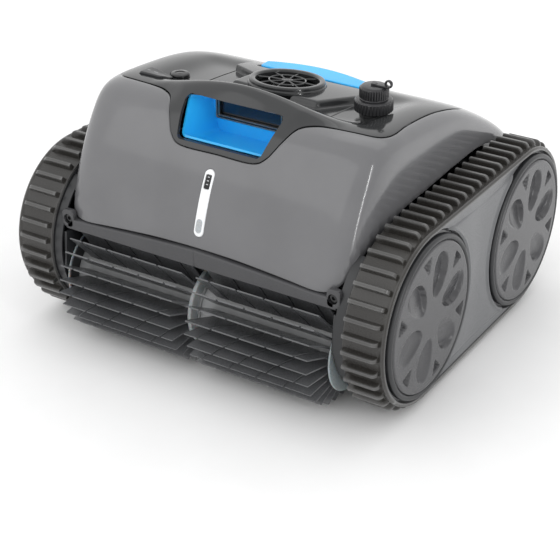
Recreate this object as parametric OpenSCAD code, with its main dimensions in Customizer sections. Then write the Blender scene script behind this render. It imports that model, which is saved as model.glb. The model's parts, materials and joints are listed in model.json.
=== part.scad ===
// Tracked pool cleaner: a grey top shell on a chassis between two rubber tracks,
// a twin brush roller in front, and a filter cartridge that lifts out of the dark deck.
// X runs across the machine, -Y is its front and Z = 0 is the floor under the tracks.

/* [Tracks and wheels] */
// Outside width over the wheel discs
overall_w = 414; // [404:1:500]
// Distance between the front and rear wheel axles
wheelbase = 205; // [200:1:250]
// Radius over the tips of the track lugs
track_r = 89.7; // [88:0.1:92]
// Height of a track lug
lug_h = 6; // [3:0.5:8]
// Thickness of the rubber band under the lugs
band_t = 3; // [2:0.1:4]
// Width of the rubber band
band_w = 41.6; // [34:0.1:46]
// Number of lugs round one track
lug_count = 62; // [40:1:70]
// Radius of the wheel disc
disc_r = 77.7; // [60:0.1:78]
// Radius of the fixed stub axles
axle_r = 6; // [4:0.1:8]

/* [Brush] */
// Radius over the tips of the brush vanes
brush_r = 59.9; // [49:0.1:60]
// Radius of the brush core
core_r = 29; // [22:0.5:34]
// Number of vanes round the brush
vane_count = 27; // [12:1:30]
// Thickness of a vane
vane_t = 1.6; // [1:0.1:2.4]
// Outer end of the vanes, from the middle of the machine
brush_end = 144.8; // [130:0.1:145]

/* [Shell and deck] */
// Half width of the shell at its skirt
shell_half_w = 158; // [156:0.5:160]
// Wall of the shell
shell_t = 3; // [2:0.1:4]
// Wall of the deck
deck_t = 3.2; // [2:0.1:4]
// Rise of the carrying bar over the deck
bar_rise = 17; // [8:0.5:20]
// Height of the battery end of the roof over the shell's centre
roof_h = 90.7; // [86:0.1:96]

/* [Filter cartridge] */
// Outer radius of the filter basket
basket_r = 54; // [48:0.5:54]
// Height of the filter basket
basket_h = 142; // [100:1:144]
// Outer radius of the pump duct
duct_r = 31; // [25.5:0.5:32]
// Width of the hatch
hatch_w = 148; // [130:1:160]
// Radius of the outlet opening in the grille
outlet_r = 30.3; // [24:0.1:32]

/* [Drive] */
// Gear module
gear_m = 1.5; // [1.5:0.1:1.6]
// Teeth on each wheel gear
wheel_teeth = 42; // [42:1:42]
// Teeth on each brush gear
brush_teeth = 21; // [21:1:21]
// Teeth on each motor pinion
pinion_teeth = 14; // [14:1:14]
// Face width of the gears
gear_w = 7; // [4:0.5:7.5]

/* [Hidden] */
$fn = 64;

// Clearances: seat between fixed pieces, gap between moving ones, running fit on shafts
seat = 0.2;
gap = 0.5;
run = 0.05;

// Across the machine: side frames, gears, wheel drums, discs
disc_x = overall_w / 2;
disc_t = 7;
band_x = disc_x - 3.4;
frame_in_x = 148.5;
frame_t = 3;
frame_x = frame_in_x + frame_t;
gear_x = frame_x + 1;
hub_x = gear_x + gear_w;
drum_r = track_r - lug_h - band_t - 0.7;
drum_t = 4;
hub_r = 12;
gear_ratio = wheel_teeth / brush_teeth;

// Brush axis: one gear mesh away from the front axle, vane tips clear of the floor
front_axle = [-wheelbase / 2, track_r];
rear_axle = [wheelbase / 2, track_r];
mesh_brush = gear_m * (wheel_teeth + brush_teeth) / 2;
mesh_pinion = gear_m * (wheel_teeth + pinion_teeth) / 2;
brush_floor_gap = 0.55;
brush_z = brush_r + brush_floor_gap;
brush_y = front_axle[0] - sqrt(mesh_brush ^ 2 - (track_r - brush_z) ^ 2);
brush_at = [brush_y, brush_z];
mesh_angle = atan2(brush_z - track_r, brush_y - front_axle[0]);
pinion_at = [rear_axle[0] - mesh_pinion, track_r];
shaft_r = 5;
guard_r = 42.5;
hood_r = brush_r + 2.9;
hood_t = 2.7;
support_t = 4;

// Shell surface: planes seen from its centre, blended into one rounded body
shell_c = [0, 0, 150];
blend_p = 13;
roof_planes = [[0, -cos(12), sin(12), 165.5], [0, -cos(39), sin(39), 150.5],
    [0, cos(85.4), sin(85.4), roof_h], [0, cos(65.2), sin(65.2), 94], [0, cos(54), sin(54), 113.2],
    [0, cos(39), sin(39), 162], [0, 1, 0, 197], [1, 0, 0, shell_half_w], [-1, 0, 0, shell_half_w]];

// Seam between shell and deck, and the shell's lower edge: right halves, front to rear
seam_pts = [[0, -138.3, 213.5], [38, -138.3, 213.5], [51, -133, 219], [60, -121, 232],
    [70, -110, 244], [83, -102, 247], [98, -98, 247], [118, -94, 245], [134, -90, 243],
    [143, -84, 243], [147, -72, 243], [147.5, -45, 243], [147.5, 0, 238], [147, 40, 228],
    [145, 62, 220], [137, 77, 214], [118, 84, 212], [60, 87, 213], [0, 88, 214]];
edge_pts = [[0, -172, 133], [40, -171.5, 132.5], [70, -170.5, 131], [100, -169, 129],
    [124, -167, 127.2], [137, -163, 130], [147, -156, 139], [153, -146, 150],
    [157, -128, 159.5], [158, -100, 167], [158, -72, 172], [158, -20, 174], [158, 30, 176],
    [157, 80, 176], [156, 115, 168], [152, 150, 148], [126, 184, 136], [60, 195, 134.5],
    [0, 196, 134.5]];
curve_steps = 4;
shell_rows = 7;
deck_rings = 12;
deck_mid = [0, -20, 243];

// Handle: opening in the front of the deck and the pocket behind it
grip_top_w = 108;
grip_bot_w = 90;
grip_top = [-103.5, 251];
grip_bot = [-130.5, 218];
pocket_z = 209;
pocket_rear = -80;
pocket_wall = 2;
mouth_reach = 170;
bar_y = -91;
bar_half = 106;
bar_spread = 15;
dip_at = [105, -35];
dip_depth = 5;

// Light bar down the front face: its low and high ends as [Y, Z], and its width
led_low = [-172.6, 144.8];
led_high = [-147.8, 203];
led_w = 11;

// Hatch, outlet and latch
outlet_at = [0, -16.3, 242.7];
outlet_tilt = 6.9;
ring_w = 7.5;
ring_h = 8;
hatch_y = [-72.5, 75];
basket_top = 216;
hatch_round = 12;
latch_w = 122;
latch_y = [23, 66];
latch_t = 3.4;
latch_tilt = 15;
latch_z = 235.6;
pin_at = [64, 221.3];
pin_r = 1.5;
knuckle_r = 4;
trough_t = 2.2;
latch_rear_z = latch_z - (pin_at[0] - latch_y[0]) * tan(latch_tilt) + latch_t / cos(latch_tilt);
latch_sweep = latch_rear_z - pin_at[1];

// Chassis
tub_front = 28.5;
tub_rear = 65.5;
tub_y = [front_axle[0] + tub_front, rear_axle[0] + tub_rear];
tub_z = [22, 112];
tub_t = 3;
bumper_reach = 37;
bumper_y = brush_y - bumper_reach;
bumper_hole_r = 5;
bumper_hole = [146.6, 126.1];
rear_y = -bumper_y + 22.9;
inlet_x = [46, 106];
inlet_y = [-48, 12];
flap_pivot = [43, 29.5];
motor_r = 16;
motor_l = 48;
cap_at = [102, -31];
cap_z = 241.5;
pad_at = [-114, -71];
pad_size = [27, 20];
pad_z = [240.5, 248.3];
lens_at = [-102, -49];
lens_r = 9.5;
lens_h = 6.5;
lens_z = 236;
board_z = 232;

// Charging port: socket tube, its bore, and the knurled cap over it
socket_r = 13;
socket_bore_r = 9;
socket_floor_z = 220;
socket_rise = 9;
cap_r = 17;
cap_ridges = 30;
cap_skirt_h = 12;
cap_top_r = 13.4;
cap_top_h = 12.5;
cap_top_z = cap_skirt_h + cap_top_h;

// Bumper: bottom edge, tab outline, and how deep the tabs are
bumper_low_z = 115.3;
tab_x = [144.5, 154];
tab_z = [117, 135];
tab_t = 6.5;
bumper_back = 140;

// Pump: motor, shaft and impeller hub
pump_r = 20;
pump_h = 52;
pump_shaft_r = 3;
blade_z = 90;
duct_top_z = 226;
duct_wall = 3;

// Basket: wall, floor and windows
basket_wall = 2;
duct_room = 3;
window_margin = 12;

// Window behind the pocket
window_x = 37.8;
window_z = [221.2, 242.8];
window_bar = 3.5;
pane_gap = 0.1;
pane_t = 2;

function flip(p) = [-p[0], p[1], p[2]];
function between(a, b, t) = a + (b - a) * t;
function bend(a, b, c, d, t) = 0.5 * (2 * b + (c - a) * t + (2 * a - 5 * b + 4 * c - d) * t ^ 2
    + (3 * b - a - 3 * c + d) * t ^ 3);
function half_curve(p) = [for (i = [0:len(p) - 2]) for (j = [0:curve_steps - 1])
    bend(i == 0 ? flip(p[1]) : p[i - 1], p[i], p[i + 1],
        i == len(p) - 2 ? flip(p[i]) : p[i + 2], j / curve_steps)];
function ring_of(p) = let (h = half_curve(p))
    concat(h, [p[len(p) - 1]], [for (i = [len(h) - 1:-1:1]) flip(h[i])]);
function press(v, w, inset) = pow(max(0, v[0] * w[0] + v[1] * w[1] + v[2] * w[2])
    / (w[3] - inset), blend_p);
function total(a, i = 0) = i == len(a) ? 0 : a[i] + total(a, i + 1);
function field(v, inset) = total([for (w = roof_planes) press(v, w, inset)]);
function onto(p, inset) = let (v = p - shell_c) shell_c + v * pow(field(v, inset), -1 / blend_p);
function climb(x, y, inset, lo, hi, n) = let (m = (lo + hi) / 2) n == 0 ? m
    : field([x, y, m] - shell_c, inset) > 1 ? climb(x, y, inset, lo, m, n - 1)
    : climb(x, y, inset, m, hi, n - 1);
function roof_z(x, y, inset) = climb(x, y, inset, 160, 262, 14);
function bar(x, y) = bar_rise * pow(max(0, 1 - (x / bar_half) ^ 2), 1.5)
    * exp(-((y - bar_y) / bar_spread) ^ 2);
function dip(x, y) = dip_depth
    * exp(-((abs(x) - dip_at[0]) / 30) ^ 2 - ((y - dip_at[1]) / 36) ^ 2);
function relief(p, t) = p + [0, 0, (bar(p[0], p[1]) - dip(p[0], p[1])) * (1 - (1 - min(1, t / 0.16)) ^ 2)];
function inv(a) = tan(a) * 180 / PI - a;
function half_tooth(rho, z) = let (r = gear_m * z / 2)
    90 / z - 0.09 / r * 180 / PI + inv(20) - inv(acos(min(1, r * cos(20) / rho)));
function tooth_radii(z) = let (r = gear_m * z / 2)
    [r - 1.25 * gear_m, max(r * cos(20), r - 0.8 * gear_m), r, r + 0.5 * gear_m, r + gear_m];
function at_angle(r, a) = [r * cos(a), r * sin(a)];
function gear_pts(z) = [for (k = [0:z - 1]) each concat(
    [for (q = tooth_radii(z)) at_angle(q, k * 360 / z - half_tooth(q, z))],
    [for (i = [4:-1:0]) let (q = tooth_radii(z)[i]) at_angle(q, k * 360 / z + half_tooth(q, z))])];

// Extrudes a drawing of (Y, Z) along X, from x to x + w
module across(x, w) {
    translate([x, 0, 0]) rotate([90, 0, 90]) linear_extrude(w) children();
}

// A rod along X at (y, z)
module rod(at, r, x, w) {
    translate([x, at[0], at[1]]) rotate([0, 90, 0]) cylinder(r = r, h = w);
}

module on_left() {
    mirror([1, 0, 0]) children();
}

module box(x, y, z) {
    translate([x[0], y[0], z[0]]) cube([x[1] - x[0], y[1] - y[0], z[1] - z[0]]);
}

module rounded(x, y, r) {
    for (i = [r + x[0], x[1] - r]) for (j = [y[0] + r, y[1] - r]) translate([i, j]) circle(r);
    translate([x[0] + r, y[0]]) square([x[1] - x[0] - 2 * r, y[1] - y[0]]);
    translate([x[0], y[0] + r]) square([x[1] - x[0], y[1] - y[0] - 2 * r]);
}

// A closed skin between two point grids, outer and inner, each with rows of n points round a loop
module skin(outer, inner, rows, n, crown) {
    pts = concat(outer, inner);
    half = len(outer);
    last = (rows - 1) * n;
    wall = [for (i = [0:rows - 2]) for (j = [0:n - 1])
        let (a = i * n + j, b = i * n + (j + 1) % n)
        each [[a, a + n, b + n], [a, b + n, b], [half + a, half + b + n, half + a + n],
            [half + a, half + b, half + b + n]]];
    foot = [for (j = [0:n - 1]) let (k = (j + 1) % n)
        each [[j, k, half + k], [j, half + k, half + j]]];
    rim = [for (j = [0:n - 1]) let (a = last + j, b = last + (j + 1) % n)
        each crown ? [[a, last + n, b], [half + a, half + b, half + last + n]]
            : [[a, half + a, half + b], [a, half + b, b]]];
    polyhedron(points = pts, faces = concat(wall, foot, rim), convexity = 6);
}

module shell_skin() {
    top = ring_of(seam_pts);
    low = ring_of(edge_pts);
    n = len(top);
    rows = shell_rows + 1;
    outer = [for (i = [0:rows - 1]) for (j = [0:n - 1])
        onto(between(low[j], top[j], i / shell_rows), 0)];
    inner = [for (i = [0:rows - 1]) for (j = [0:n - 1])
        onto(between(low[j], top[j], i / shell_rows), shell_t)];
    skin(outer, inner, rows, n, false);
}

module deck_skin() {
    low = ring_of(seam_pts);
    n = len(low);
    margin = 0.004;
    outer = concat([for (i = [0:deck_rings - 1]) for (j = [0:n - 1])
        let (t = i / deck_rings) relief(onto(between(low[j], deck_mid, margin + t), 0), t)],
        [relief(onto(deck_mid, 0), 1)]);
    inner = concat([for (i = [0:deck_rings - 1]) for (j = [0:n - 1])
        let (t = i / deck_rings) relief(onto(between(low[j], deck_mid, margin + t), deck_t), t)],
        [relief(onto(deck_mid, deck_t), 1)]);
    skin(outer, inner, deck_rings, n, true);
}

// A roof plate over a rectangle, following the deck's surface
module roof_plate(x, y, top, bottom, nx = 18, ny = 18) {
    grid = [for (t = [top, bottom]) for (i = [0:nx]) for (j = [0:ny])
        let (a = x[0] + (x[1] - x[0]) * i / nx, b = y[0] + (y[1] - y[0]) * j / ny)
        [a, b, roof_z(a, b, 0) + bar(a, b) - dip(a, b) + t]];
    half = (nx + 1) * (ny + 1);
    r = ny + 1;
    tops = [for (i = [0:nx - 1]) for (j = [0:ny - 1]) let (a = i * r + j)
        each [[a, a + r + 1, a + r], [a, a + 1, a + r + 1],
            [half + a, half + a + r, half + a + r + 1], [half + a, half + a + r + 1, half + a + 1]]];
    sides_y = [for (i = [0:nx - 1]) for (e = [0, ny]) let (a = i * r + e, b = a + r)
        each e == 0 ? [[a, b, half + b], [a, half + b, half + a]]
            : [[b, a, half + a], [b, half + a, half + b]]];
    sides_x = [for (j = [0:ny - 1]) for (e = [0, nx]) let (a = e * r + j, b = a + 1)
        each e == 0 ? [[b, a, half + a], [b, half + a, half + b]]
            : [[a, b, half + b], [a, half + b, half + a]]];
    polyhedron(points = grid, faces = concat(tops, sides_y, sides_x), convexity = 6);
}

// Handle opening: tapers down the front face, seen along Y
module grip_mouth(grow) {
    tall = [grip_bot[1] - grow, grip_top[1] + grow];
    rotate([90, 0, 0]) linear_extrude(2 * mouth_reach, center = true) polygon([
        [-grip_bot_w / 2 - grow, tall[0]], [grip_bot_w / 2 + grow, tall[0]],
        [grip_top_w / 2 + grow, tall[1]], [-grip_top_w / 2 - grow, tall[1]]]);
}

// Pocket body behind the opening, seen along X; open towards the front
module pocket_side(grow) {
    top_z = grip_top[1] - 5;
    across(-100, 200) polygon([[grip_bot[0] - 10, pocket_z - grow],
        [pocket_rear + grow, pocket_z - grow], [pocket_rear + grow, top_z + grow],
        [grip_bot[0] - 10, top_z + grow]]);
}

module hatch_outline(grow) {
    rounded([-hatch_w / 2 - grow, hatch_w / 2 + grow], [hatch_y[0] - grow, hatch_y[1] + grow],
        hatch_round + grow);
}

// Children drawn in the light bar's own frame: X across it, Y up along it, Z out of the face
module led_frame() {
    lean = atan2(led_high[0] - led_low[0], led_high[1] - led_low[1]);
    translate([0, (led_low[0] + led_high[0]) / 2, (led_low[1] + led_high[1]) / 2])
        rotate([90 - lean, 0, 0]) children();
}

module led_bar(w, low, high) {
    l = norm(led_high - led_low) + w - led_w;
    led_frame() translate([0, 0, low]) linear_extrude(high - low)
        rounded([-w / 2, w / 2], [-l / 2, l / 2], w / 2 - 0.01);
}

module led_seat(grow, low, high) {
    led_frame() translate([0, 20, low]) linear_extrude(high - low)
        rounded([-3 - grow, 3 + grow], [-6.5 - grow, 6.5 + grow], 1.2);
}

module latch_shape(grow, w) {
    difference() {
        translate([-w / 2 - grow, latch_y[0] - grow])
            square([w + 2 * grow, latch_y[1] - latch_y[0] + 2 * grow]);
        for (s = [-1, 1]) translate([s * (w / 2 + grow), latch_y[0] - grow])
            rotate(s * 12) translate([-w, -40]) square([2 * w, 40]);
    }
}

module latch_slab(grow, up) {
    intersection() {
        translate([0, 0, 180]) linear_extrude(90) latch_shape(grow, latch_w);
        translate([0, latch_y[0], latch_z]) rotate([-latch_tilt, 0, 0])
            translate([-100, -20, -grow]) cube([200, 80, latch_t + grow + up]);
    }
}

module gear(teeth, turn, at, bore) {
    translate([gear_x, at[0], at[1]]) rotate([90, 0, 90]) linear_extrude(gear_w)
        difference() {
            rotate(turn) polygon(gear_pts(teeth));
            circle(bore);
        }
}

module wheel(at) {
    pockets = 6;
    difference() {
        union() {
            difference() {
                rod(at, drum_r, frame_x + 11, disc_x - disc_t - frame_x - 11);
                rod(at, drum_r - drum_t, frame_x + 10, disc_x - disc_t - frame_x - 10);
            }
            rod(at, hub_r, hub_x, disc_x - disc_t - hub_x + 1);
            rod(at, disc_r, disc_x - disc_t, disc_t);
        }
        rod(at, axle_r + run, hub_x - 1, disc_x - hub_x - 4);
        for (k = [0:pockets - 1]) {
            across(disc_x - 4, 5) translate(at) rotate(k * 360 / pockets + 20) translate([48, 0])
                circle(13);
            across(disc_x - disc_t - 1, disc_t + 2) translate(at)
                rotate(k * 360 / pockets + 50) translate([59, 0]) circle(5, $fn = 3);
        }
    }
}

// Centre line of the track: length of the straight runs and of the arcs
function lug_pts(r0, r1) = let (lap = 2 * wheelbase + 2 * PI * r0, pitch = lap / lug_count)
    [for (k = [0:lug_count - 1]) each [for (e = [[-0.3, r0], [-0.17, r1], [0.17, r1], [0.3, r0]])
        belt_point((k + 0.5 + e[0]) * pitch, e[1], r0)]];
function belt_point(s, r, r0) = let (arc = PI * r0)
    s < wheelbase ? [-wheelbase / 2 + s, -r]
    : s < wheelbase + arc ? [wheelbase / 2, 0] + at_angle(r, (s - wheelbase) / r0 * 180 / PI - 90)
    : s < 2 * wheelbase + arc ? [wheelbase / 2 - (s - wheelbase - arc), r]
    : [-wheelbase / 2, 0] + at_angle(r, (s - 2 * wheelbase - arc) / r0 * 180 / PI + 90);

module stadium(r) {
    for (s = [-1, 1]) translate([s * wheelbase / 2, 0]) circle(r);
    translate([-wheelbase / 2, -r]) square([wheelbase, 2 * r]);
}

module track() {
    band_r = track_r - lug_h;
    translate([0, 0, track_r]) difference() {
        union() {
            across(band_x - band_w, band_w) stadium(band_r);
            across(band_x - band_w + 4, band_w - 9) polygon(lug_pts(band_r - 0.8, track_r));
        }
        across(band_x - band_w - 1, band_w + 2) stadium(band_r - band_t);
    }
}

module side_frame() {
    difference() {
        across(frame_in_x, frame_t) polygon([[-166, 112], [-178, 112], [-181, 78], [-170, 50],
            [-150, 30], [-120, 24], [-60, 20], [150, 20], [176, 45], [178, 110], [150, 150],
            [-60, 150], [-118, 146], [-136, 124], [-140, 112]]);
        rod(brush_at, shaft_r + 3, frame_in_x - 1, frame_t + 2);
        rod(pinion_at, shaft_r, frame_in_x - 1, frame_t + 2);
    }
}

module side_cover() {
    face_x = band_x - 1.5;
    clear_r = drum_r + 1.8;
    span = track_r - lug_h - band_t - 0.5;
    difference() {
        across(face_x - 6, 6) translate([-wheelbase / 2, track_r - span])
            square([wheelbase, 2 * span]);
        rod(front_axle, clear_r, face_x - 7, 8);
        rod(rear_axle, clear_r, face_x - 7, 8);
    }
    for (z = [45, 135]) rod([0, z], 6, frame_x, face_x - 6 - frame_x + 1);
}

module axle_set() {
    for (at = [front_axle, rear_axle]) {
        rod(at, axle_r, frame_x, disc_x - 5 - frame_x - 1);
    }
}

module brush_core() {
    start = support_t / 2 + gap;
    end = frame_in_x - 1;
    difference() {
        union() {
            rod(brush_at, core_r, start, end - start - 1.5);
            rod(brush_at, guard_r, end - 2, 2);
        }
        for (k = [0:5]) translate([0, brush_at[0], brush_at[1]]) rotate([k * 60, 0, 0])
            translate([0, 0, 17]) rotate([0, 90, 0]) translate([0, 0, start + 3])
                cylinder(r = 5, h = end - start);
    }
    rod(brush_at, shaft_r - run, 0.3, gear_x + gear_w + 0.4 - 0.3);
}

module brush_vanes() {
    start = support_t / 2 + gap;
    for (k = [0:vane_count - 1]) translate([start, brush_at[0], brush_at[1]])
        rotate([k * 360 / vane_count, 0, 0]) translate([0, -vane_t / 2, core_r])
            cube([brush_end - start, vane_t, brush_r - core_r]);
}

module drive_motor() {
    end = frame_in_x - 3;
    difference() {
        rod(pinion_at, motor_r, end - motor_l, motor_l);
        rod(pinion_at, 2.5 + run, end - 20, 21);
    }
    rod(pinion_at, motor_r * 0.7, end - motor_l - 8, 8.5);
}

module motor_pinion() {
    turn = 180 / pinion_teeth;
    gear(pinion_teeth, turn, pinion_at, 2.5);
    rod(pinion_at, 2.5, frame_in_x - 15, gear_x + gear_w - frame_in_x + 15);
}

module inlet_flap() {
    flap_y = [inlet_y[0] - 3, inlet_y[1] + 3];
    difference() {
        box([flap_pivot[0], inlet_x[1] + 4], flap_y, [tub_z[0] + tub_t + gap, tub_z[0] + tub_t + 3]);
        box([flap_pivot[0] - 1, flap_pivot[0] + 3.5], [flap_y[0] - 1, flap_y[0] + 6],
            [tub_z[0], tub_z[1]]);
        box([flap_pivot[0] - 1, flap_pivot[0] + 3.5], [flap_y[1] - 6, flap_y[1] + 1],
            [tub_z[0], tub_z[1]]);
    }
    translate([flap_pivot[0], flap_y[0] + 6, flap_pivot[1]]) rotate([-90, 0, 0])
        cylinder(r = 2.6, h = flap_y[1] - flap_y[0] - 12);
    translate([flap_pivot[0], flap_y[0] + 1, flap_pivot[1]]) rotate([-90, 0, 0])
        cylinder(r = pin_r, h = flap_y[1] - flap_y[0] - 2);
}

module top_shell() {
    color("#84858a") difference() {
        shell_skin();
        led_bar(led_w, -12, 12);
    }
}

module deck_panel() {
    color("#4b4b4d") difference() {
        deck_skin();
        intersection() {
            grip_mouth(0);
            box([-80, 80], [-160, grip_top[0] + 1], [200, 252]);
        }
        translate([0, 0, 200]) linear_extrude(80) hatch_outline(gap);
        translate([cap_at[0], cap_at[1], 200]) cylinder(r = socket_r + seat, h = 80);
        translate([lens_at[0], lens_at[1], 200]) cylinder(r = lens_r + seat, h = 80);
        box([pad_at[0] - pad_size[0] / 2 - gap, pad_at[0] + pad_size[0] / 2 + gap],
            [pad_at[1] - pad_size[1] / 2 - gap, pad_at[1] + pad_size[1] / 2 + gap], [200, 280]);
    }
}

module handle_liner() {
    color("#1590e6") difference() {
        intersection() {
            pocket_side(pocket_wall);
            grip_mouth(pocket_wall + 2);
        }
        intersection() {
            translate([0, -1, 0]) pocket_side(0);
            grip_mouth(2);
        }
        across(-100, 200) polygon([[-200, 150], [grip_bot[0] + 3.5, pocket_z - 8],
            [grip_bot[0] + 3.5, grip_bot[1] - 5], [grip_top[0] + 5.5, grip_top[1] - 2], [-96, 270],
            [-200, 270]]);
        box([-window_x - seat, window_x + seat], [pocket_rear - 1, pocket_rear + pocket_wall + 1],
            [window_z[0] - seat, window_z[1] + seat]);
    }
}

module window_frame() {
    inner_x = window_x - window_bar;
    color("#8d8478") difference() {
        box([-window_x, window_x], [pocket_rear - 1.5, pocket_rear + pocket_wall], window_z);
        box([-inner_x, inner_x], [pocket_rear - 3, pocket_rear + pocket_wall + 1],
            [window_z[0] + window_bar, window_z[1] - window_bar]);
    }
}

module inspection_window() {
    front = pocket_rear + pocket_wall + pane_gap;
    color("#2c3036") box([1 - window_x, window_x - 1], [front, front + pane_t],
        [window_z[0] + 1, window_z[1] - 1]);
}

module led_lens() {
    color("#d8dadb") difference() {
        led_bar(led_w - 2 * seat, -3.5, 1.2);
        led_seat(0, 0, 4);
    }
}

module led_display() {
    color("#15161a") led_seat(-0.1, 0, 1.4);
}

module status_lens() {
    color("#1a2420") translate([lens_at[0], lens_at[1], lens_z]) cylinder(r = lens_r, h = lens_h);
}

module mode_pad() {
    color("#3a3a3c") box([pad_at[0] - pad_size[0] / 2, pad_at[0] + pad_size[0] / 2],
        [pad_at[1] - pad_size[1] / 2, pad_at[1] + pad_size[1] / 2], pad_z);
}

module switch_board() {
    color("#2d6a4a") difference() {
        box([-130, -88], [-83, -38], [board_z, board_z + 2]);
        translate([lens_at[0], lens_at[1], board_z - 1]) cylinder(r = 3, h = 4);
    }
}

module charge_socket() {
    color("#3b3b3d") translate([cap_at[0], cap_at[1], 0]) difference() {
        translate([0, 0, socket_floor_z - 8])
            cylinder(r = socket_r, h = cap_z + socket_rise - socket_floor_z + 8);
        translate([0, 0, socket_floor_z]) cylinder(r = socket_bore_r, h = 40);
    }
}

module socket_seal() {
    color("#222222") translate([cap_at[0], cap_at[1], cap_z + socket_rise]) rotate_extrude()
        translate([socket_bore_r + 2, 0]) square([1.6, 0.9]);
}

module charge_cap() {
    ridge_r = 0.9;
    strap_w = 5;
    loop_x = 15.5;
    color("#2c2c2e") translate([cap_at[0], cap_at[1], cap_z]) {
        difference() {
            union() {
                cylinder(r = cap_r, h = cap_skirt_h);
                for (k = [0:cap_ridges - 1]) rotate(k * 360 / cap_ridges) translate([cap_r, 0, 1])
                    cylinder(r = ridge_r, h = cap_skirt_h - 2, $fn = 8);
                translate([0, 0, cap_skirt_h]) cylinder(r = cap_top_r, h = cap_top_h);
                translate([0, 0, cap_top_z]) cylinder(r = 3, h = 2.2);
            }
            translate([0, 0, -1]) cylinder(r = socket_r + gap, h = socket_rise + 2.5);
        }
        translate([0, -strap_w / 2, cap_top_z]) cube([loop_x + 0.5, strap_w, 1.6]);
        translate([loop_x, strap_w / 2, cap_top_z + 4.1]) rotate([90, 0, 0]) difference() {
            cylinder(r = 3.6, h = strap_w);
            translate([0, 0, -1]) cylinder(r = 1.8, h = strap_w + 2);
        }
    }
}

module chassis_tub() {
    color("#3f4042") difference() {
        union() {
            difference() {
                box([-frame_in_x, frame_in_x], tub_y, tub_z);
                box([tub_t - frame_in_x, frame_in_x - tub_t], [tub_y[0] + tub_t, tub_y[1] - tub_t],
                    [tub_z[0] + tub_t, tub_z[1] + 1]);
            }
            for (s = [-1, 1]) for (y = [inlet_y[0] - 0.5, inlet_y[1] - 1.5])
                box([s * flap_pivot[0] - 3, s * flap_pivot[0] + 3], [y, y + 2],
                    [tub_z[0] + tub_t - 1, flap_pivot[1] + 3]);
        }
        for (s = [-1, 1]) {
            box(s > 0 ? inlet_x : [-inlet_x[1], -inlet_x[0]], inlet_y, [tub_z[0] - 1, tub_z[0] + 5]);
            rod(pinion_at, shaft_r, s > 0 ? frame_in_x - 5 : -frame_in_x - 5, 10);
            translate([s * flap_pivot[0], inlet_y[0] - 5, flap_pivot[1]]) rotate([-90, 0, 0])
                cylinder(r = pin_r + run, h = inlet_y[1] - inlet_y[0] + 10);
        }
    }
}

module brush_hood() {
    color("#38393b") intersection() {
        difference() {
            rod(brush_at, hood_r + hood_t, -frame_in_x + seat, 2 * frame_in_x - 2 * seat);
            rod(brush_at, hood_r, -frame_in_x, 2 * frame_in_x);
        }
        box([-200, 200], [brush_at[0] + 2, tub_y[0] - seat], [brush_at[1] + 2, 200]);
    }
}

module bumper_block() {
    half = [[tab_x[0] - 6.5, bumper_low_z], [tab_x[0] - 3.5, tab_z[0]], [tab_x[1], tab_z[0]],
        [tab_x[1], tab_z[1]], [tab_x[0], tab_z[1]], [tab_x[0] - 1.5, 126.5], [124, 126.2], [70, 130.3]];
    left = [for (i = [len(half) - 1:-1:0]) [-half[i][0], half[i][1]]];
    rotate([90, 0, 0]) translate([0, 0, bumper_back]) linear_extrude(-bumper_y - bumper_back)
        polygon(concat(half, [[0, 132.4]], left));
}

module front_bumper() {
    mid = (tab_x[0] + tab_x[1]) / 2;
    color("#5a5a5b") difference() {
        bumper_block();
        rod(brush_at, hood_r, -200, 400);
        for (s = [-1, 1]) {
            box([s * mid - 7.5, s * mid + 7.5], [bumper_y + tab_t, -100], [100, 200]);
            translate([s * bumper_hole[0], bumper_y + 20, bumper_hole[1]]) rotate([90, 0, 0])
                cylinder(r = bumper_hole_r, h = 40);
        }
    }
}

module bumper_screws() {
    color("#1c1c1d") for (s = [-1, 1]) translate([s * bumper_hole[0], bumper_y + 6, bumper_hole[1]])
        rotate([90, 0, 0]) cylinder(r = bumper_hole_r - 0.6, h = 4);
}

module rear_bumper() {
    color("#5a5a5b") difference() {
        translate([0, 0, 98]) linear_extrude(34) rounded([-152, 152], [130, rear_y], 30);
        box([-frame_x - gap, frame_x + gap], [100, tub_y[1] + 12], [90, 140]);
    }
}

module side_frame_left() {
    color("#2b2b2c") on_left() side_frame();
}

module side_frame_right() {
    color("#2b2b2c") side_frame();
}

module side_cover_left() {
    color("#77787a") on_left() side_cover();
}

module side_cover_right() {
    color("#77787a") side_cover();
}

module track_left() {
    color("#45423f") on_left() track();
}

module track_right() {
    color("#45423f") track();
}

module wheel_axles() {
    color("silver") {
        axle_set();
        on_left() axle_set();
    }
}

module wheel_front_left() {
    color("#6b6b6b") on_left() wheel(front_axle);
}

module wheel_front_right() {
    color("#6b6b6b") wheel(front_axle);
}

module wheel_rear_left() {
    color("#6b6b6b") on_left() wheel(rear_axle);
}

module wheel_rear_right() {
    color("#6b6b6b") wheel(rear_axle);
}

module wheel_gear_front() {
    gear(wheel_teeth, mesh_angle, front_axle, axle_r + run);
}

module wheel_gear_rear() {
    gear(wheel_teeth, 180, rear_axle, axle_r + run);
}

module wheel_gear_front_left() {
    color("#c9c6bd") on_left() wheel_gear_front();
}

module wheel_gear_front_right() {
    color("#c9c6bd") wheel_gear_front();
}

module wheel_gear_rear_left() {
    color("#c9c6bd") on_left() wheel_gear_rear();
}

module wheel_gear_rear_right() {
    color("#c9c6bd") wheel_gear_rear();
}

module brush_core_left() {
    color("#4e4e50") on_left() brush_core();
}

module brush_core_right() {
    color("#4e4e50") brush_core();
}

module brush_vanes_left() {
    color("#3c3d3f") on_left() brush_vanes();
}

module brush_vanes_right() {
    color("#3c3d3f") brush_vanes();
}

module brush_gear() {
    gear(brush_teeth, mesh_angle + 180 + 180 / brush_teeth, brush_at, shaft_r - run);
}

module brush_gear_left() {
    color("#c9c6bd") on_left() brush_gear();
}

module brush_gear_right() {
    color("#c9c6bd") brush_gear();
}

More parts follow.
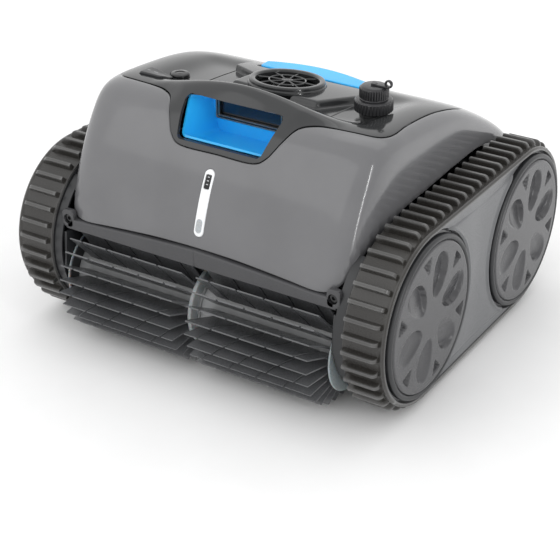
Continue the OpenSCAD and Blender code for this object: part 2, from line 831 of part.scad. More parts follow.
module brush_bearings() {
    color("#b8b39f") for (s = [0, 1]) mirror([s, 0, 0]) difference() {
        rod(brush_at, shaft_r + 3, frame_in_x, frame_t);
        rod(brush_at, shaft_r, frame_in_x - 1, frame_t + 2);
    }
}

module brush_support() {
    color("#38393b") across(-support_t / 2, support_t) translate(brush_at) difference() {
        union() {
            circle(11);
            intersection() {
                rotate(45) translate([0, -7]) square([hood_r + 5, 14]);
                circle(hood_r);
            }
        }
        circle(shaft_r);
    }
}

module drive_motor_left() {
    color("#8a8c8f") on_left() drive_motor();
}

module drive_motor_right() {
    color("#8a8c8f") drive_motor();
}

module motor_pinion_left() {
    color("#c9a24a") on_left() motor_pinion();
}

module motor_pinion_right() {
    color("#c9a24a") motor_pinion();
}

module pump_motor() {
    color("#8a8c8f") translate([outlet_at[0], outlet_at[1], tub_z[0] + tub_t]) difference() {
        cylinder(r = pump_r, h = pump_h);
        translate([0, 0, 30]) cylinder(r = pump_shaft_r + run, h = 30);
    }
}

module pump_duct() {
    windows = 6;
    base_z = tub_z[0] + tub_t;
    color("#35363a") translate([outlet_at[0], outlet_at[1], 0]) difference() {
        union() {
            translate([0, 0, base_z]) cylinder(r = duct_r + 7, h = 3);
            translate([0, 0, base_z]) cylinder(r = duct_r, h = duct_top_z - base_z);
        }
        translate([0, 0, base_z - 1]) cylinder(r = duct_r - duct_wall, h = 240);
        for (k = [0:windows - 1]) rotate(k * 360 / windows) translate([duct_r - 10, -8, 112])
            cube([20, 16, 86]);
    }
}

module duct_seal() {
    color("#1b1b1b") translate([outlet_at[0], outlet_at[1], duct_top_z]) rotate_extrude()
        translate([duct_r - duct_wall + 0.5, 0]) square([2, 2]);
}

module pump_impeller() {
    blades = 5;
    hub_r = 8;
    blade_w = 14;
    blade_t = 1.6;
    color("#d8d4c8") translate([outlet_at[0], outlet_at[1], 0]) {
        translate([0, 0, tub_z[0] + tub_t + 32]) cylinder(r = pump_shaft_r, h = 34);
        difference() {
            union() {
                translate([0, 0, blade_z - 8]) cylinder(r = hub_r, h = 16);
                for (k = [0:blades - 1]) rotate(k * 360 / blades) translate([hub_r - 2, 0, blade_z])
                    rotate([35, 0, 0]) translate([0, -blade_w / 2, -blade_t / 2])
                        cube([duct_r - duct_wall - hub_r - 2, blade_w, blade_t]);
            }
            translate([0, 0, blade_z - 10]) cylinder(r = pump_shaft_r - 0.1, h = 12);
        }
    }
}

module battery_pack() {
    color("#2a3a55") box([-70, 70], [84, 160], [tub_z[0] + tub_t, 72]);
}

module control_box() {
    color("#26282b") box([-60, 60], [90, 154], [72, 98]);
}

module filter_hatch() {
    color("#454547") difference() {
        union() {
            intersection() {
                roof_plate([-hatch_w / 2 - 1, hatch_w / 2 + 1], [hatch_y[0] - 1, hatch_y[1] + 1], 0,
                    -deck_t);
                translate([0, 0, 180]) linear_extrude(90) hatch_outline(0);
            }
            intersection() {
                rod(pin_at, latch_sweep + gap + trough_t, -latch_w / 2 - 3, latch_w + 6);
                translate([0, 0, 180]) linear_extrude(pin_at[1] - 180) hatch_outline(0);
            }
            for (s = [-1, 1]) for (q = [[-38, 243], [4, 236]])
                translate([s * (basket_r - 8), q[0], basket_top]) cylinder(r = 4, h = q[1] - basket_top);
            for (s = [-1, 1]) intersection() {
                box([s * 64 - 3, s * 64 + 3], [pin_at[0] - 5, pin_at[0] + 5],
                    [pin_at[1] - 4, pin_at[1] + 3]);
                translate([0, 0, 180]) linear_extrude(90) hatch_outline(0);
            }
        }
        latch_slab(gap, 20);
        rod(pin_at, latch_sweep + gap, -latch_w / 2 - gap, latch_w + 2 * gap);
        rod(pin_at, pin_r, -67, 134);
        translate(outlet_at) rotate([-outlet_tilt, 0, 0]) translate([0, 0, -30])
            cylinder(r = outlet_r + ring_w + seat, h = 60);
    }
}

module outlet_grille() {
    spokes = 8;
    color("#2f2f31") translate(outlet_at) rotate([-outlet_tilt, 0, 0]) translate([0, 0, -ring_h + 2])
        {
            difference() {
                cylinder(r = outlet_r + ring_w, h = ring_h);
                translate([0, 0, -1]) cylinder(r = outlet_r, h = ring_h + 2);
            }
            for (r = [4.5, 17.5]) translate([0, 0, ring_h - 4]) difference() {
                cylinder(r = r + 1, h = 2.5);
                translate([0, 0, -1]) cylinder(r = r - 1, h = 5);
            }
            for (k = [0:spokes - 1]) rotate(k * 360 / spokes + 10) translate([4, -0.8, ring_h - 4])
                cube([outlet_r - 3.5, 1.6, 2.5]);
        }
}

module filter_basket() {
    ribs = 10;
    top_z = basket_top - basket_wall;
    low_z = basket_top - basket_h;
    inner_r = duct_r + duct_room;
    window_h = top_z - low_z - 2 * window_margin;
    color("#48494c") translate([outlet_at[0], outlet_at[1], low_z]) difference() {
        union() {
            difference() {
                cylinder(r = basket_r, h = basket_h);
                translate([0, 0, basket_wall])
                    cylinder(r = basket_r - basket_wall, h = basket_h - 2 * basket_wall);
            }
            cylinder(r = inner_r + basket_wall, h = basket_h);
        }
        translate([0, 0, -1]) cylinder(r = inner_r, h = basket_h + 2);
        for (k = [0:ribs - 1]) rotate(k * 360 / ribs) {
            translate([basket_r - 6, -13, window_margin]) cube([12, 26, window_h]);
            translate([inner_r - 3, -6, window_margin]) cube([8, 12, window_h]);
        }
        for (a = [0, 180]) rotate(a) translate([(inner_r + basket_r) / 2, 0, -1])
            cylinder(r = 7, h = basket_wall + 2);
    }
}

module filter_mesh() {
    cloth_t = 0.8;
    cloth_r = basket_r - basket_wall;
    cloth_h = basket_h - 2 * basket_wall;
    color("#c8ccd0") translate([outlet_at[0], outlet_at[1], basket_top - basket_h + basket_wall])
        difference() {
            cylinder(r = cloth_r, h = cloth_h);
            translate([0, 0, -1]) cylinder(r = cloth_r - cloth_t, h = cloth_h + 2);
        }
}

module latch_handle() {
    color("#3bb4f5") difference() {
        union() {
            difference() {
                latch_slab(0, 0);
                box([-100, 100], [pin_at[0], 100], [180, 260]);
            }
            rod(pin_at, knuckle_r, -latch_w / 2 + 4, latch_w - 8);
        }
        rod(pin_at, pin_r + run, -100, 200);
    }
}

module latch_pin() {
    color("silver") rod(pin_at, pin_r, -66, 132);
}

module inlet_flap_left() {
    color("#3a3b3e") on_left() inlet_flap();
}

module inlet_flap_right() {
    color("#3a3b3e") inlet_flap();
}

top_shell();
deck_panel();
handle_liner();
inspection_window();
window_frame();
led_lens();
led_display();
status_lens();
mode_pad();
switch_board();
charge_socket();
socket_seal();
charge_cap();
chassis_tub();
brush_hood();
front_bumper();
bumper_screws();
rear_bumper();
side_frame_left();
side_frame_right();
side_cover_left();
side_cover_right();
track_left();
track_right();
wheel_axles();
wheel_front_left();
wheel_front_right();
wheel_rear_left();
wheel_rear_right();
wheel_gear_front_left();
wheel_gear_front_right();
wheel_gear_rear_left();
wheel_gear_rear_right();
brush_core_left();
brush_core_right();
brush_vanes_left();
brush_vanes_right();
brush_gear_left();
brush_gear_right();
brush_bearings();
brush_support();
drive_motor_left();
drive_motor_right();
motor_pinion_left();
motor_pinion_right();
pump_motor();
pump_duct();
duct_seal();
pump_impeller();
battery_pack();
control_box();
filter_hatch();
outlet_grille();
filter_basket();
filter_mesh();
latch_handle();
latch_pin();
inlet_flap_left();
inlet_flap_right();
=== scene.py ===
"""A tracked pool cleaner: grey shell, dark deck with a carrying bar, twin brush and two rubber tracks."""
import json
import math

import bpy
import numpy as np
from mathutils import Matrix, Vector


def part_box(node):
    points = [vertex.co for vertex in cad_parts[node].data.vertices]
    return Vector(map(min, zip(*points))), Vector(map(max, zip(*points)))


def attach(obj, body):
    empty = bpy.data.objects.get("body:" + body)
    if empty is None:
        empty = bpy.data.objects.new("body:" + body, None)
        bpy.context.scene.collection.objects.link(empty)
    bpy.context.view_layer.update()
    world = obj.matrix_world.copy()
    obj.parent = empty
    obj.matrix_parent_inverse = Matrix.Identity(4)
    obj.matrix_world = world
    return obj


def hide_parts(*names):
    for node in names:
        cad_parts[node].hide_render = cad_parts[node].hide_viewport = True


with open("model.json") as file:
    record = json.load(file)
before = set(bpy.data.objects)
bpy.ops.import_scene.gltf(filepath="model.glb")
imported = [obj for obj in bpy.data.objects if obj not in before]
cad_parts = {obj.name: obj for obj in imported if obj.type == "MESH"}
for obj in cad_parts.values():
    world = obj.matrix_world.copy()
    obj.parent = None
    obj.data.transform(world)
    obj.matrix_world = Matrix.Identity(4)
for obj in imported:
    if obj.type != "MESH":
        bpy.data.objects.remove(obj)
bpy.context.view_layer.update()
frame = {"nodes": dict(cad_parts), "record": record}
MM = 0.001

# ---------------------------------------------------------------- sizes, in millimetres
DISC_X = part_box("wheel_front_right")[1][0] / MM
WHEEL_LO, WHEEL_HI = (np.array(corner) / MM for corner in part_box("wheel_front_right"))
REAR_LO, REAR_HI = (np.array(corner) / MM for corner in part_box("wheel_rear_right"))
DRUM_R = (WHEEL_HI[2] - WHEEL_LO[2]) / 2
AXLE_Z = (WHEEL_HI[2] + WHEEL_LO[2]) / 2
FRONT_Y = (WHEEL_HI[1] + WHEEL_LO[1]) / 2
REAR_Y = (REAR_HI[1] + REAR_LO[1]) / 2
BRUSH_LO, BRUSH_HI = (np.array(corner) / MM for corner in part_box("brush_vanes_right"))
BRUSH_R = (BRUSH_HI[2] - BRUSH_LO[2]) / 2
BRUSH_Y, BRUSH_Z = (BRUSH_HI[1] + BRUSH_LO[1]) / 2, (BRUSH_HI[2] + BRUSH_LO[2]) / 2
BAND_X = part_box("track_right")[1][0] / MM
BAND_IN_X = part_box("track_right")[0][0] / MM
TRACK_R = AXLE_Z
LUG_H, BAND_T, LUGS = 6.0, 3.0, 62
LIP_W, LUG_ROUND = 5.2, 5.0
DISC_R = 77.7
SHELL_T, DECK_T = 3.0, 3.2
CORE_R = 29.0

# The rounded body: planes seen from its centre, blended by a p-norm, as in the CAD model
BODY_MID = np.array([0.0, 0.0, 150.0])
BLEND_P = 13.0


def slope(angle, reach, side=1):
    """A plane whose normal leans from +-Y by an angle in degrees, at a distance from the body's middle."""
    return [0, side * math.cos(math.radians(angle)), math.sin(math.radians(angle)), reach]


BODY_PLANES = np.array([
    slope(12, 165.5, -1), slope(39, 150.5, -1), slope(85.4, 90.7), slope(65.2, 94), slope(54, 113.2),
    slope(39, 162), [0, 1, 0, 197], [1, 0, 0, 158], [-1, 0, 0, 158]])

SEAM = np.array([
    [0, -138.3, 213.5], [38, -138.3, 213.5], [51, -133, 219], [60, -121, 232], [70, -110, 244],
    [83, -102, 247], [98, -98, 247], [118, -94, 245], [134, -90, 243], [143, -84, 243], [147, -72, 243],
    [147.5, -45, 243], [147.5, 0, 238], [147, 40, 228], [145, 62, 220], [137, 77, 214], [118, 84, 212],
    [60, 87, 213], [0, 88, 214]], float)
SKIRT = np.array([
    [0, -172, 133], [40, -171.5, 132.5], [70, -170.5, 131], [100, -169, 129], [124, -167, 127.2],
    [137, -163, 130], [147, -156, 139], [153, -146, 150], [157, -128, 159.5], [158, -100, 167],
    [158, -72, 172], [158, -20, 174], [158, 30, 176], [157, 80, 176], [156, 115, 168], [152, 150, 148],
    [126, 184, 136], [60, 195, 134.5], [0, 196, 134.5]], float)
DECK_MID = np.array([0.0, -20.0, 243.0])
BAR_RISE, BAR_Y, BAR_HALF, BAR_SPREAD = 17.0, -91.0, 106.0, 15.0
DIP_DEPTH, DIP_HALF, DIP_FROM, DIP_TO = 7.0, 112.0, -72.0, 24.0
OUTLET = np.array([0.0, -16.3, 242.7])
OUTLET_TILT = 6.9
CAP = np.array([102.0, -31.0, 241.5])


# ---------------------------------------------------------------- shapes
def onto(points, inset):
    """Moves points along rays from the body's middle to r = (sum max(0, n.d / (h - inset))^p)^(-1/p)."""
    ray = points - BODY_MID
    reach = BODY_PLANES[:, 3] - np.asarray(inset)[..., None]
    press = np.clip(ray @ BODY_PLANES[:, :3].T, 0, None) / reach
    return BODY_MID + ray * ((press ** BLEND_P).sum(-1) ** (-1 / BLEND_P))[..., None]


def roof_z(x, y, inset=0.0):
    """Height of the body's roof at (x, y): bisects z until the blended field is 1."""
    low, high = np.full(np.shape(x), 150.0), np.full(np.shape(x), 266.0)
    for _ in range(26):
        mid = (low + high) / 2
        ray = np.stack([x, y, mid], -1) - BODY_MID
        press = np.clip(ray @ BODY_PLANES[:, :3].T, 0, None) / (BODY_PLANES[:, 3] - inset)
        outside = (press ** BLEND_P).sum(-1) > 1
        high, low = np.where(outside, mid, high), np.where(outside, low, mid)
    return (low + high) / 2


def ease(value):
    """Logistic step, 0 to 1."""
    return 1 / (1 + np.exp(-value))


def relief(x, y):
    """Rise of the carrying bar less the dip of the deck behind it."""
    across = np.clip(1 - (x / BAR_HALF) ** 2, 0, None) ** 1.5
    bar = BAR_RISE * across * np.exp(-((y - BAR_Y) / BAR_SPREAD) ** 2)
    dip = DIP_DEPTH * ease((DIP_HALF - np.abs(x)) / 6) * ease((y - DIP_FROM) / 3.5) * ease((DIP_TO - y) / 6)
    return bar - dip


def smooth_loop(half, steps):
    """Closed Catmull-Rom loop through a right half and its mirror image."""
    left = half[-2:0:-1] * [-1, 1, 1]
    points = np.concatenate([half, left])
    t = (np.arange(steps) / steps)[None, :, None]
    a, b, c, d = (np.roll(points, k, axis=0)[:, None, :] for k in (1, 0, -1, -2))
    curve = 0.5 * (2 * b + (c - a) * t + (2 * a - 5 * b + 4 * c - d) * t ** 2
                   + (3 * b - a - 3 * c + d) * t ** 3)
    return curve.reshape(-1, 3)


def make(name, points, faces):
    """A mesh object at the origin from points in millimetres, faces outwards, creased over 35 degrees."""
    mesh = bpy.data.meshes.new(name)
    mesh.from_pydata((np.asarray(points) * MM).tolist(), [], faces)
    mesh.validate()
    mesh.calc_loop_triangles()
    spots = np.empty(len(mesh.vertices) * 3, np.float32)
    mesh.vertices.foreach_get("co", spots)
    corners = np.empty(len(mesh.loop_triangles) * 3, np.int32)
    mesh.loop_triangles.foreach_get("vertices", corners)
    a, b, c = spots.reshape(-1, 3).astype(float)[corners.reshape(-1, 3).T]
    if np.einsum("ij,ij->i", a, np.cross(b, c)).sum() < 0:
        mesh.flip_normals()
    piece = bpy.data.objects.new(name, mesh)
    bpy.context.scene.collection.objects.link(piece)
    crease(piece)
    return piece


def crease(piece, angle=35):
    """Smooth shading with a hard edge wherever faces meet at more than the angle."""
    piece.data.shade_smooth()
    piece.data.set_sharp_from_angle(angle=math.radians(angle))


def lattice(rows, cols, close_rows=False, close_cols=True, offset=0):
    """Quads of a grid of rows x cols points, wrapped round where it closes."""
    i, j = np.meshgrid(np.arange(rows if close_rows else rows - 1),
                       np.arange(cols if close_cols else cols - 1), indexing="ij")
    up, side = (i + 1) % rows, (j + 1) % cols
    quads = np.stack([i * cols + j, i * cols + side, up * cols + side, up * cols + j], -1)
    return (quads.reshape(-1, 4) + offset).tolist()


def skin(name, rings, first_pole=None, last_pole=None, torus=False, flip=False):
    """Closed surface through rings (rings, points, 3), capped by a pole or a flat face at each end."""
    rows, cols = rings.shape[:2]
    points = rings.reshape(-1, 3)
    faces = lattice(rows, cols, close_rows=torus)
    loop = np.arange(cols)
    if not torus:
        for base, pole, back in ((0, first_pole, True), ((rows - 1) * cols, last_pole, False)):
            if pole is None:
                ring = (loop[::-1] if back else loop) + base
                faces.append(ring.tolist())
                continue
            tip = len(points)
            points = np.vstack([points, pole])
            a, b = loop + base, (loop + 1) % cols + base
            fan = np.stack([b, a, np.full(cols, tip)] if back else [a, b, np.full(cols, tip)], -1)
            faces += fan.tolist()
    if flip:
        faces = [face[::-1] for face in faces]
    return make(name, points, faces)


def lathe(name, profile, spin, place, ripple=None, steps=96):
    """Turns a closed (radius, height) profile round an axis; ripple(angle, radius, height) widens it."""
    angle = np.linspace(0, 2 * np.pi, steps, endpoint=False)
    radius, height = (np.asarray(profile, float)[:, k][:, None] + 0 * angle for k in (0, 1))
    if ripple is not None:
        radius = radius + ripple(angle[None, :], radius, height)
    rings = np.stack([radius * np.cos(angle), radius * np.sin(angle), height], -1)
    return skin(name, rings @ np.asarray(spin, float) + place, torus=True)


def arc(mid, radius, start, stop, steps):
    """Points of an arc, angles in degrees."""
    a = np.radians(np.linspace(start, stop, steps))
    return np.stack([mid[0] + radius * np.cos(a), mid[1] + radius * np.sin(a)], -1)


def rounded_outline(width, depth, radius, steps=8):
    """Rounded rectangle about the origin, counter-clockwise."""
    w, d = width / 2 - radius, depth / 2 - radius
    corners = ((w, -d, -90), (w, d, 0), (-w, d, 90), (-w, -d, 180))
    return np.concatenate([arc((x, y), radius, a, a + 90, steps) for x, y, a in corners])


def densify(outline, spacing):
    """Adds points along an outline's long edges."""
    ahead = np.roll(outline, -1, axis=0)
    parts = []
    for a, b in zip(outline, ahead):
        count = max(1, int(np.linalg.norm(b - a) / spacing))
        parts.append(a + (b - a) * (np.arange(count) / count)[:, None])
    return np.concatenate(parts)


def inward(outline, distance):
    """Offsets a counter-clockwise outline inwards along its own normals."""
    tangent = np.roll(outline, -1, axis=0) - np.roll(outline, 1, axis=0)
    tangent /= np.linalg.norm(tangent, axis=1)[:, None] + 1e-9
    return outline + distance * np.stack([-tangent[:, 1], tangent[:, 0]], -1)


def slab(name, outline, top, bottom, fillet, middle=None, steps=4, flow=6):
    """Plate over an outline between top(x, y) and bottom(x, y), a quarter round joining each to the side."""
    centre = outline.mean(0) if middle is None else np.asarray(middle, float)
    rings = []
    for share in np.linspace(0.12, 1, flow)[:-1]:
        flat = centre + (inward(outline, fillet) - centre) * share
        rings.append(np.column_stack([flat, bottom(*flat.T)]))
    for a in np.linspace(0, np.pi / 2, steps):
        flat = inward(outline, fillet * (1 - np.sin(a)))
        rings.append(np.column_stack([flat, bottom(*flat.T) + fillet * (1 - np.cos(a))]))
    for a in np.linspace(np.pi / 2, 0, steps):
        flat = inward(outline, fillet * (1 - np.sin(a)))
        rings.append(np.column_stack([flat, top(*flat.T) - fillet * (1 - np.cos(a))]))
    for share in np.linspace(1, 0.12, flow)[1:]:
        flat = centre + (inward(outline, fillet) - centre) * share
        rings.append(np.column_stack([flat, top(*flat.T)]))
    ends = [np.append(centre, face(*centre)) for face in (bottom, top)]
    return skin(name, np.array(rings), ends[0], ends[1])


def prism(name, outline, low, high):
    """Straight prism over an outline in X and Y."""
    rings = np.array([np.column_stack([outline, np.full(len(outline), z)]) for z in (low, high)])
    return skin(name, rings)


def turned(piece, rotation, move=(0, 0, 0)):
    """Applies a rotation matrix and a move in millimetres to a piece's own points."""
    flat = np.empty(len(piece.data.vertices) * 3, np.float32)
    piece.data.vertices.foreach_get("co", flat)
    points = flat.reshape(-1, 3) @ np.asarray(rotation, float).T + np.asarray(move, float) * MM
    piece.data.vertices.foreach_set("co", points.astype(np.float32).ravel())
    piece.data.update()
    return piece


def mirrored(piece, name):
    """A copy of a piece on the other side of X = 0, with its faces turned the right way out."""
    count = len(piece.data.vertices)
    flat = np.empty(count * 3, np.float32)
    piece.data.vertices.foreach_get("co", flat)
    points = flat.reshape(-1, 3) * [-1, 1, 1] / MM
    faces = [list(face.vertices)[::-1] for face in piece.data.polygons]
    return make(name, points, faces)


def cut(piece, cutters):
    """Subtracts closed cutters from a closed piece and keeps the result as its mesh."""
    for cutter in cutters:
        carve = piece.modifiers.new("carve", "BOOLEAN")
        carve.object, carve.operation, carve.solver = cutter, "DIFFERENCE", "MANIFOLD"
    graph = bpy.context.evaluated_depsgraph_get()
    mesh = bpy.data.meshes.new_from_object(piece.evaluated_get(graph))
    piece.modifiers.clear()
    piece.data = mesh
    for cutter in cutters:
        bpy.data.objects.remove(cutter)
    crease(piece)
    return piece


def joined(name, pieces):
    """One mesh of several closed pieces."""
    points, faces, base = [], [], 0
    for piece in pieces:
        flat = np.empty(len(piece.data.vertices) * 3, np.float32)
        piece.data.vertices.foreach_get("co", flat)
        points.append(flat.reshape(-1, 3) / MM)
        faces += [[v + base for v in face.vertices] for face in piece.data.polygons]
        base += len(piece.data.vertices)
        bpy.data.objects.remove(piece)
    return make(name, np.concatenate(points), faces)


def tube(name, path, radius, sides=10, closed=False):
    """Round rod along a path, its rings square to it."""
    path = np.asarray(path, float)
    ahead = np.roll(path, -1, axis=0) - np.roll(path, 1, axis=0)
    if not closed:
        ahead[0], ahead[-1] = path[1] - path[0], path[-1] - path[-2]
    ahead /= np.linalg.norm(ahead, axis=1)[:, None]
    guide = np.where(np.abs(ahead[:, 2:3]) > 0.9, [[1.0, 0, 0]], [[0, 0, 1.0]])
    side = np.cross(guide, ahead)
    side /= np.linalg.norm(side, axis=1)[:, None]
    up = np.cross(ahead, side)
    a = np.linspace(0, 2 * np.pi, sides, endpoint=False)
    rings = path[:, None] + radius * (side[:, None] * np.cos(a)[:, None] + up[:, None] * np.sin(a)[:, None])
    return skin(name, rings, torus=closed)


def rotation_x(degrees):
    """Rotation matrix about X."""
    c, s = math.cos(math.radians(degrees)), math.sin(math.radians(degrees))
    return np.array([[1, 0, 0], [0, c, -s], [0, s, c]])


ALONG_X = np.array([[0, 1, 0], [0, 0, 1], [1, 0, 0]])
ALONG_Y = np.array([[1, 0, 0], [0, 0, 1], [0, 1, 0]])
# Stands a piece drawn in X and Y upright, its top towards the front
UPRIGHT = np.array([[1, 0, 0], [0, 0, -1], [0, 1, 0]])


# ---------------------------------------------------------------- finishes
def linear(code):
    """sRGB hex to linear RGBA."""
    parts = np.array([int(code[k:k + 2], 16) / 255 for k in (1, 3, 5)])
    value = np.where(parts <= 0.04045, parts / 12.92, ((parts + 0.055) / 1.055) ** 2.4)
    return (*value.tolist(), 1.0)


def add(tree, kind, links=None, **settings):
    """Adds a node: settings name its properties or sockets, links name its sockets and what feeds them."""
    node = tree.nodes.new("ShaderNode" + kind)
    for key, value in settings.items():
        label = key.replace("_", " ")
        match = [socket for socket in node.inputs if socket.name.lower() == label.lower()]
        if hasattr(node, key):
            setattr(node, key, value)
        else:
            match[0].default_value = value
    for key, source in (links or {}).items():
        tree.links.new(source, node.inputs[key])
    return node


def finish(name, colour, darker, rough, grain_mm, depth_mm, shader=None, wear_and_highlight=0.0, streak=(1, 1, 1)):
    """A moulded or worked surface in Object coordinates: cloudy colour, patchy roughness, fine bump grain."""
    material = bpy.data.materials.new(name)
    material.use_nodes = True
    tree = material.node_tree
    tree.nodes.clear()
    place = add(tree, "TexCoord").outputs["Object"]
    turn = add(tree, "Mapping", {"Vector": place}, Scale=streak).outputs["Vector"]
    cloud = add(tree, "TexNoise", {"Vector": place}, Scale=1 / (60 * MM), Detail=3.0).outputs[0]
    grain = add(tree, "TexNoise", {"Vector": turn}, Scale=1 / (grain_mm * MM), Detail=4.0,
                Roughness=0.6).outputs[0]
    tint = add(tree, "ValToRGB", {"Fac": cloud})
    tint.color_ramp.elements[0].color, tint.color_ramp.elements[1].color = linear(darker), linear(colour)
    tint.color_ramp.elements[0].position, tint.color_ramp.elements[1].position = 0.3, 0.7
    base = tint.outputs[0]
    # Pointy edges lightened towards pale grey #c9cacb: partly edge wear, partly painted highlight on edges
    # that catch the light
    if wear_and_highlight:
        edge = add(tree, "NewGeometry").outputs["Pointiness"]
        pale_edge = add(tree, "MapRange", {"Value": edge}, From_Min=0.52, From_Max=0.6, To_Min=0.0, To_Max=wear_and_highlight)
        mix = add(tree, "Mix", {0: pale_edge.outputs[0], 6: base}, data_type="RGBA")
        mix.inputs[7].default_value = linear("#c9cacb")
        base = mix.outputs[2]
    gloss = add(tree, "MapRange", {"Value": grain}, From_Min=0.3, From_Max=0.7,
                To_Min=max(0.02, rough - 0.06), To_Max=rough + 0.06).outputs[0]
    bump = add(tree, "Bump", {"Height": grain}, Strength=0.6, Distance=depth_mm * MM).outputs[0]
    surface = add(tree, "BsdfPrincipled", {"Base Color": base, "Roughness": gloss, "Normal": bump})
    for socket, value in (shader or {}).items():
        surface.inputs[socket].default_value = value
    add(tree, "OutputMaterial", {"Surface": surface.outputs[0]})
    return material


FINISHES = {
    # Gloss ABS from a polished tool: a clear, slightly soft reflection and almost no grain
    "shell_grey": finish("gloss_abs_grey", "#6a6a6c", "#636365", 0.16, 0.5, 0.004,
                         {"IOR": 1.5, "Coat Weight": 0.25, "Coat Roughness": 0.08}),
    # Satin ABS with a fine spark-eroded texture
    "deck_dark": finish("satin_abs_charcoal", "#313233", "#2c2d2e", 0.12, 0.45, 0.012, {"IOR": 1.5}),
    # Blue gloss polypropylene, even and bright
    "blue_gloss": finish("gloss_pp_blue", "#33bcfa", "#28aef4", 0.2, 0.5, 0.004, {"IOR": 1.49}),
    # Smoked polycarbonate
    "window_glass": finish("smoked_polycarbonate", "#2a2e34", "#24282d", 0.08, 0.6, 0.002,
                           {"IOR": 1.58, "Transmission Weight": 0.35}),
    # Brushed stainless strip
    "window_metal": finish("brushed_stainless", "#a39a8e", "#8f867b", 0.3, 0.4, 0.01, {"Metallic": 1.0},
                           streak=(0.05, 1, 1)),
    # Frosted light guide with a silvery backing
    "light_bar": finish("frosted_light_guide", "#e2e3e5", "#cfd1d3", 0.3, 1.2, 0.02,
                        {"IOR": 1.49, "Emission Strength": 0.16, "Emission Color": (1, 1, 1, 1)}),
    "black_gloss": finish("gloss_black_acrylic", "#101113", "#0c0d0f", 0.08, 0.6, 0.002, {"IOR": 1.49}),
    "board_green": finish("solder_mask_green", "#2d6a4a", "#255a3e", 0.4, 0.8, 0.01),
    "black_rubber": finish("moulded_epdm", "#1d1d1e", "#191919", 0.6, 0.5, 0.015),
    # Glass-filled nylon, dark and slightly glossy on the knurls
    "knurled_black": finish("glass_filled_nylon_black", "#2c2c2e", "#252527", 0.2, 0.4, 0.015),
    "chassis_dark": finish("satin_pp_black", "#2a2b2d", "#232426", 0.36, 0.5, 0.015),
    "bumper_grey": finish("satin_abs_grey", "#414143", "#3c3c3e", 0.3, 0.5, 0.012, {"IOR": 1.5}),
    "cover_grey": finish("satin_abs_mid_grey", "#67686a", "#606163", 0.3, 0.5, 0.01, {"IOR": 1.5}),
    # Moulded nitrile rubber, warm dark grey with a dull shine on its flats; its pointy lug edges are
    # lightened towards pale grey, partly edge wear and partly painted highlight
    "track_rubber": finish("moulded_nitrile_rubber", "#2e2c29", "#282624", 0.28, 0.6, 0.02,
                           {"IOR": 1.52, "Sheen Weight": 0.06}, 0.22),
    "wheel_grey": finish("satin_abs_wheel_grey", "#49494b", "#424244", 0.26, 0.5, 0.01, {"IOR": 1.5}),
    "gear_nylon": finish("natural_nylon", "#c9c6bd", "#bbb8ae", 0.42, 0.6, 0.01),
    "steel": finish("turned_steel", "#b4b6b8", "#a2a4a6", 0.28, 0.3, 0.006, {"Metallic": 1.0},
                    streak=(1, 0.1, 0.1)),
    # Soft PVC vane, slightly see-through at its thin edge
    "brush_pvc": finish("soft_pvc_dark", "#5e5f61", "#505153", 0.28, 0.7, 0.02,
                        {"IOR": 1.53, "Subsurface Weight": 0.05, "Subsurface Radius": (0.002, 0.002, 0.002)}),
    "brush_core": finish("satin_abs_core", "#929394", "#858687", 0.3, 0.6, 0.015),
    "motor_shell": finish("anodised_aluminium", "#8a8c8f", "#7d7f82", 0.32, 0.3, 0.006, {"Metallic": 1.0}),
    "brass": finish("turned_brass", "#c9a24a", "#b8923e", 0.28, 0.3, 0.006, {"Metallic": 1.0}),
    "impeller_white": finish("acetal_white", "#d8d4c8", "#ccc8bb", 0.35, 0.5, 0.008),
    "battery_blue": finish("pvc_shrink_sleeve", "#2a3a55", "#233149", 0.3, 3.0, 0.05),
    "potting_black": finish("epoxy_potting", "#26282b", "#1f2123", 0.2, 2.0, 0.03),
    "filter_plastic": finish("satin_pp_dark_grey", "#303134", "#2a2b2e", 0.4, 0.5, 0.012),
    # Fine nylon filter cloth: a 1.2 mm thread spacing so that the weave shows
    "filter_cloth": finish("woven_nylon_mesh", "#c8ccd0", "#9ea2a6", 0.6, 1.2, 0.2, streak=(1, 1, 0.35)),
}
# Natural PVC, milky and translucent: the ring that stiffens the brush ends
MILKY = finish("natural_pvc_milky", "#c9cbcc", "#b4b6b7", 0.3, 0.8, 0.01,
               {"IOR": 1.53, "Transmission Weight": 0.35, "Subsurface Weight": 0.2})
# Printed marks: dull silver ink
INK = finish("silver_pad_print", "#b9bbbd", "#aeb0b2", 0.5, 0.4, 0.004)
SLOT_OF = {part["node"]: part["material_slot"] for part in frame["record"]["subparts"]}
BODY_OF = {node: body for body, nodes in frame["record"]["behaviour"]["bodies"].items() for node in nodes}


def dress(piece, node, material=None, stands_for=True, slot=None):
    """Gives a new piece the finish of its node's slot and its node's body, and hides the node if the piece
    stands for it.
    """
    slot = slot or SLOT_OF[node]
    piece.data.materials.clear()
    piece.data.materials.append(material or FINISHES[slot])
    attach(piece, BODY_OF[node])
    if stands_for:
        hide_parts(node)
    return piece


for name, part in frame["nodes"].items():
    part.data.materials.clear()
    part.data.materials.append(FINISHES[SLOT_OF[name]])


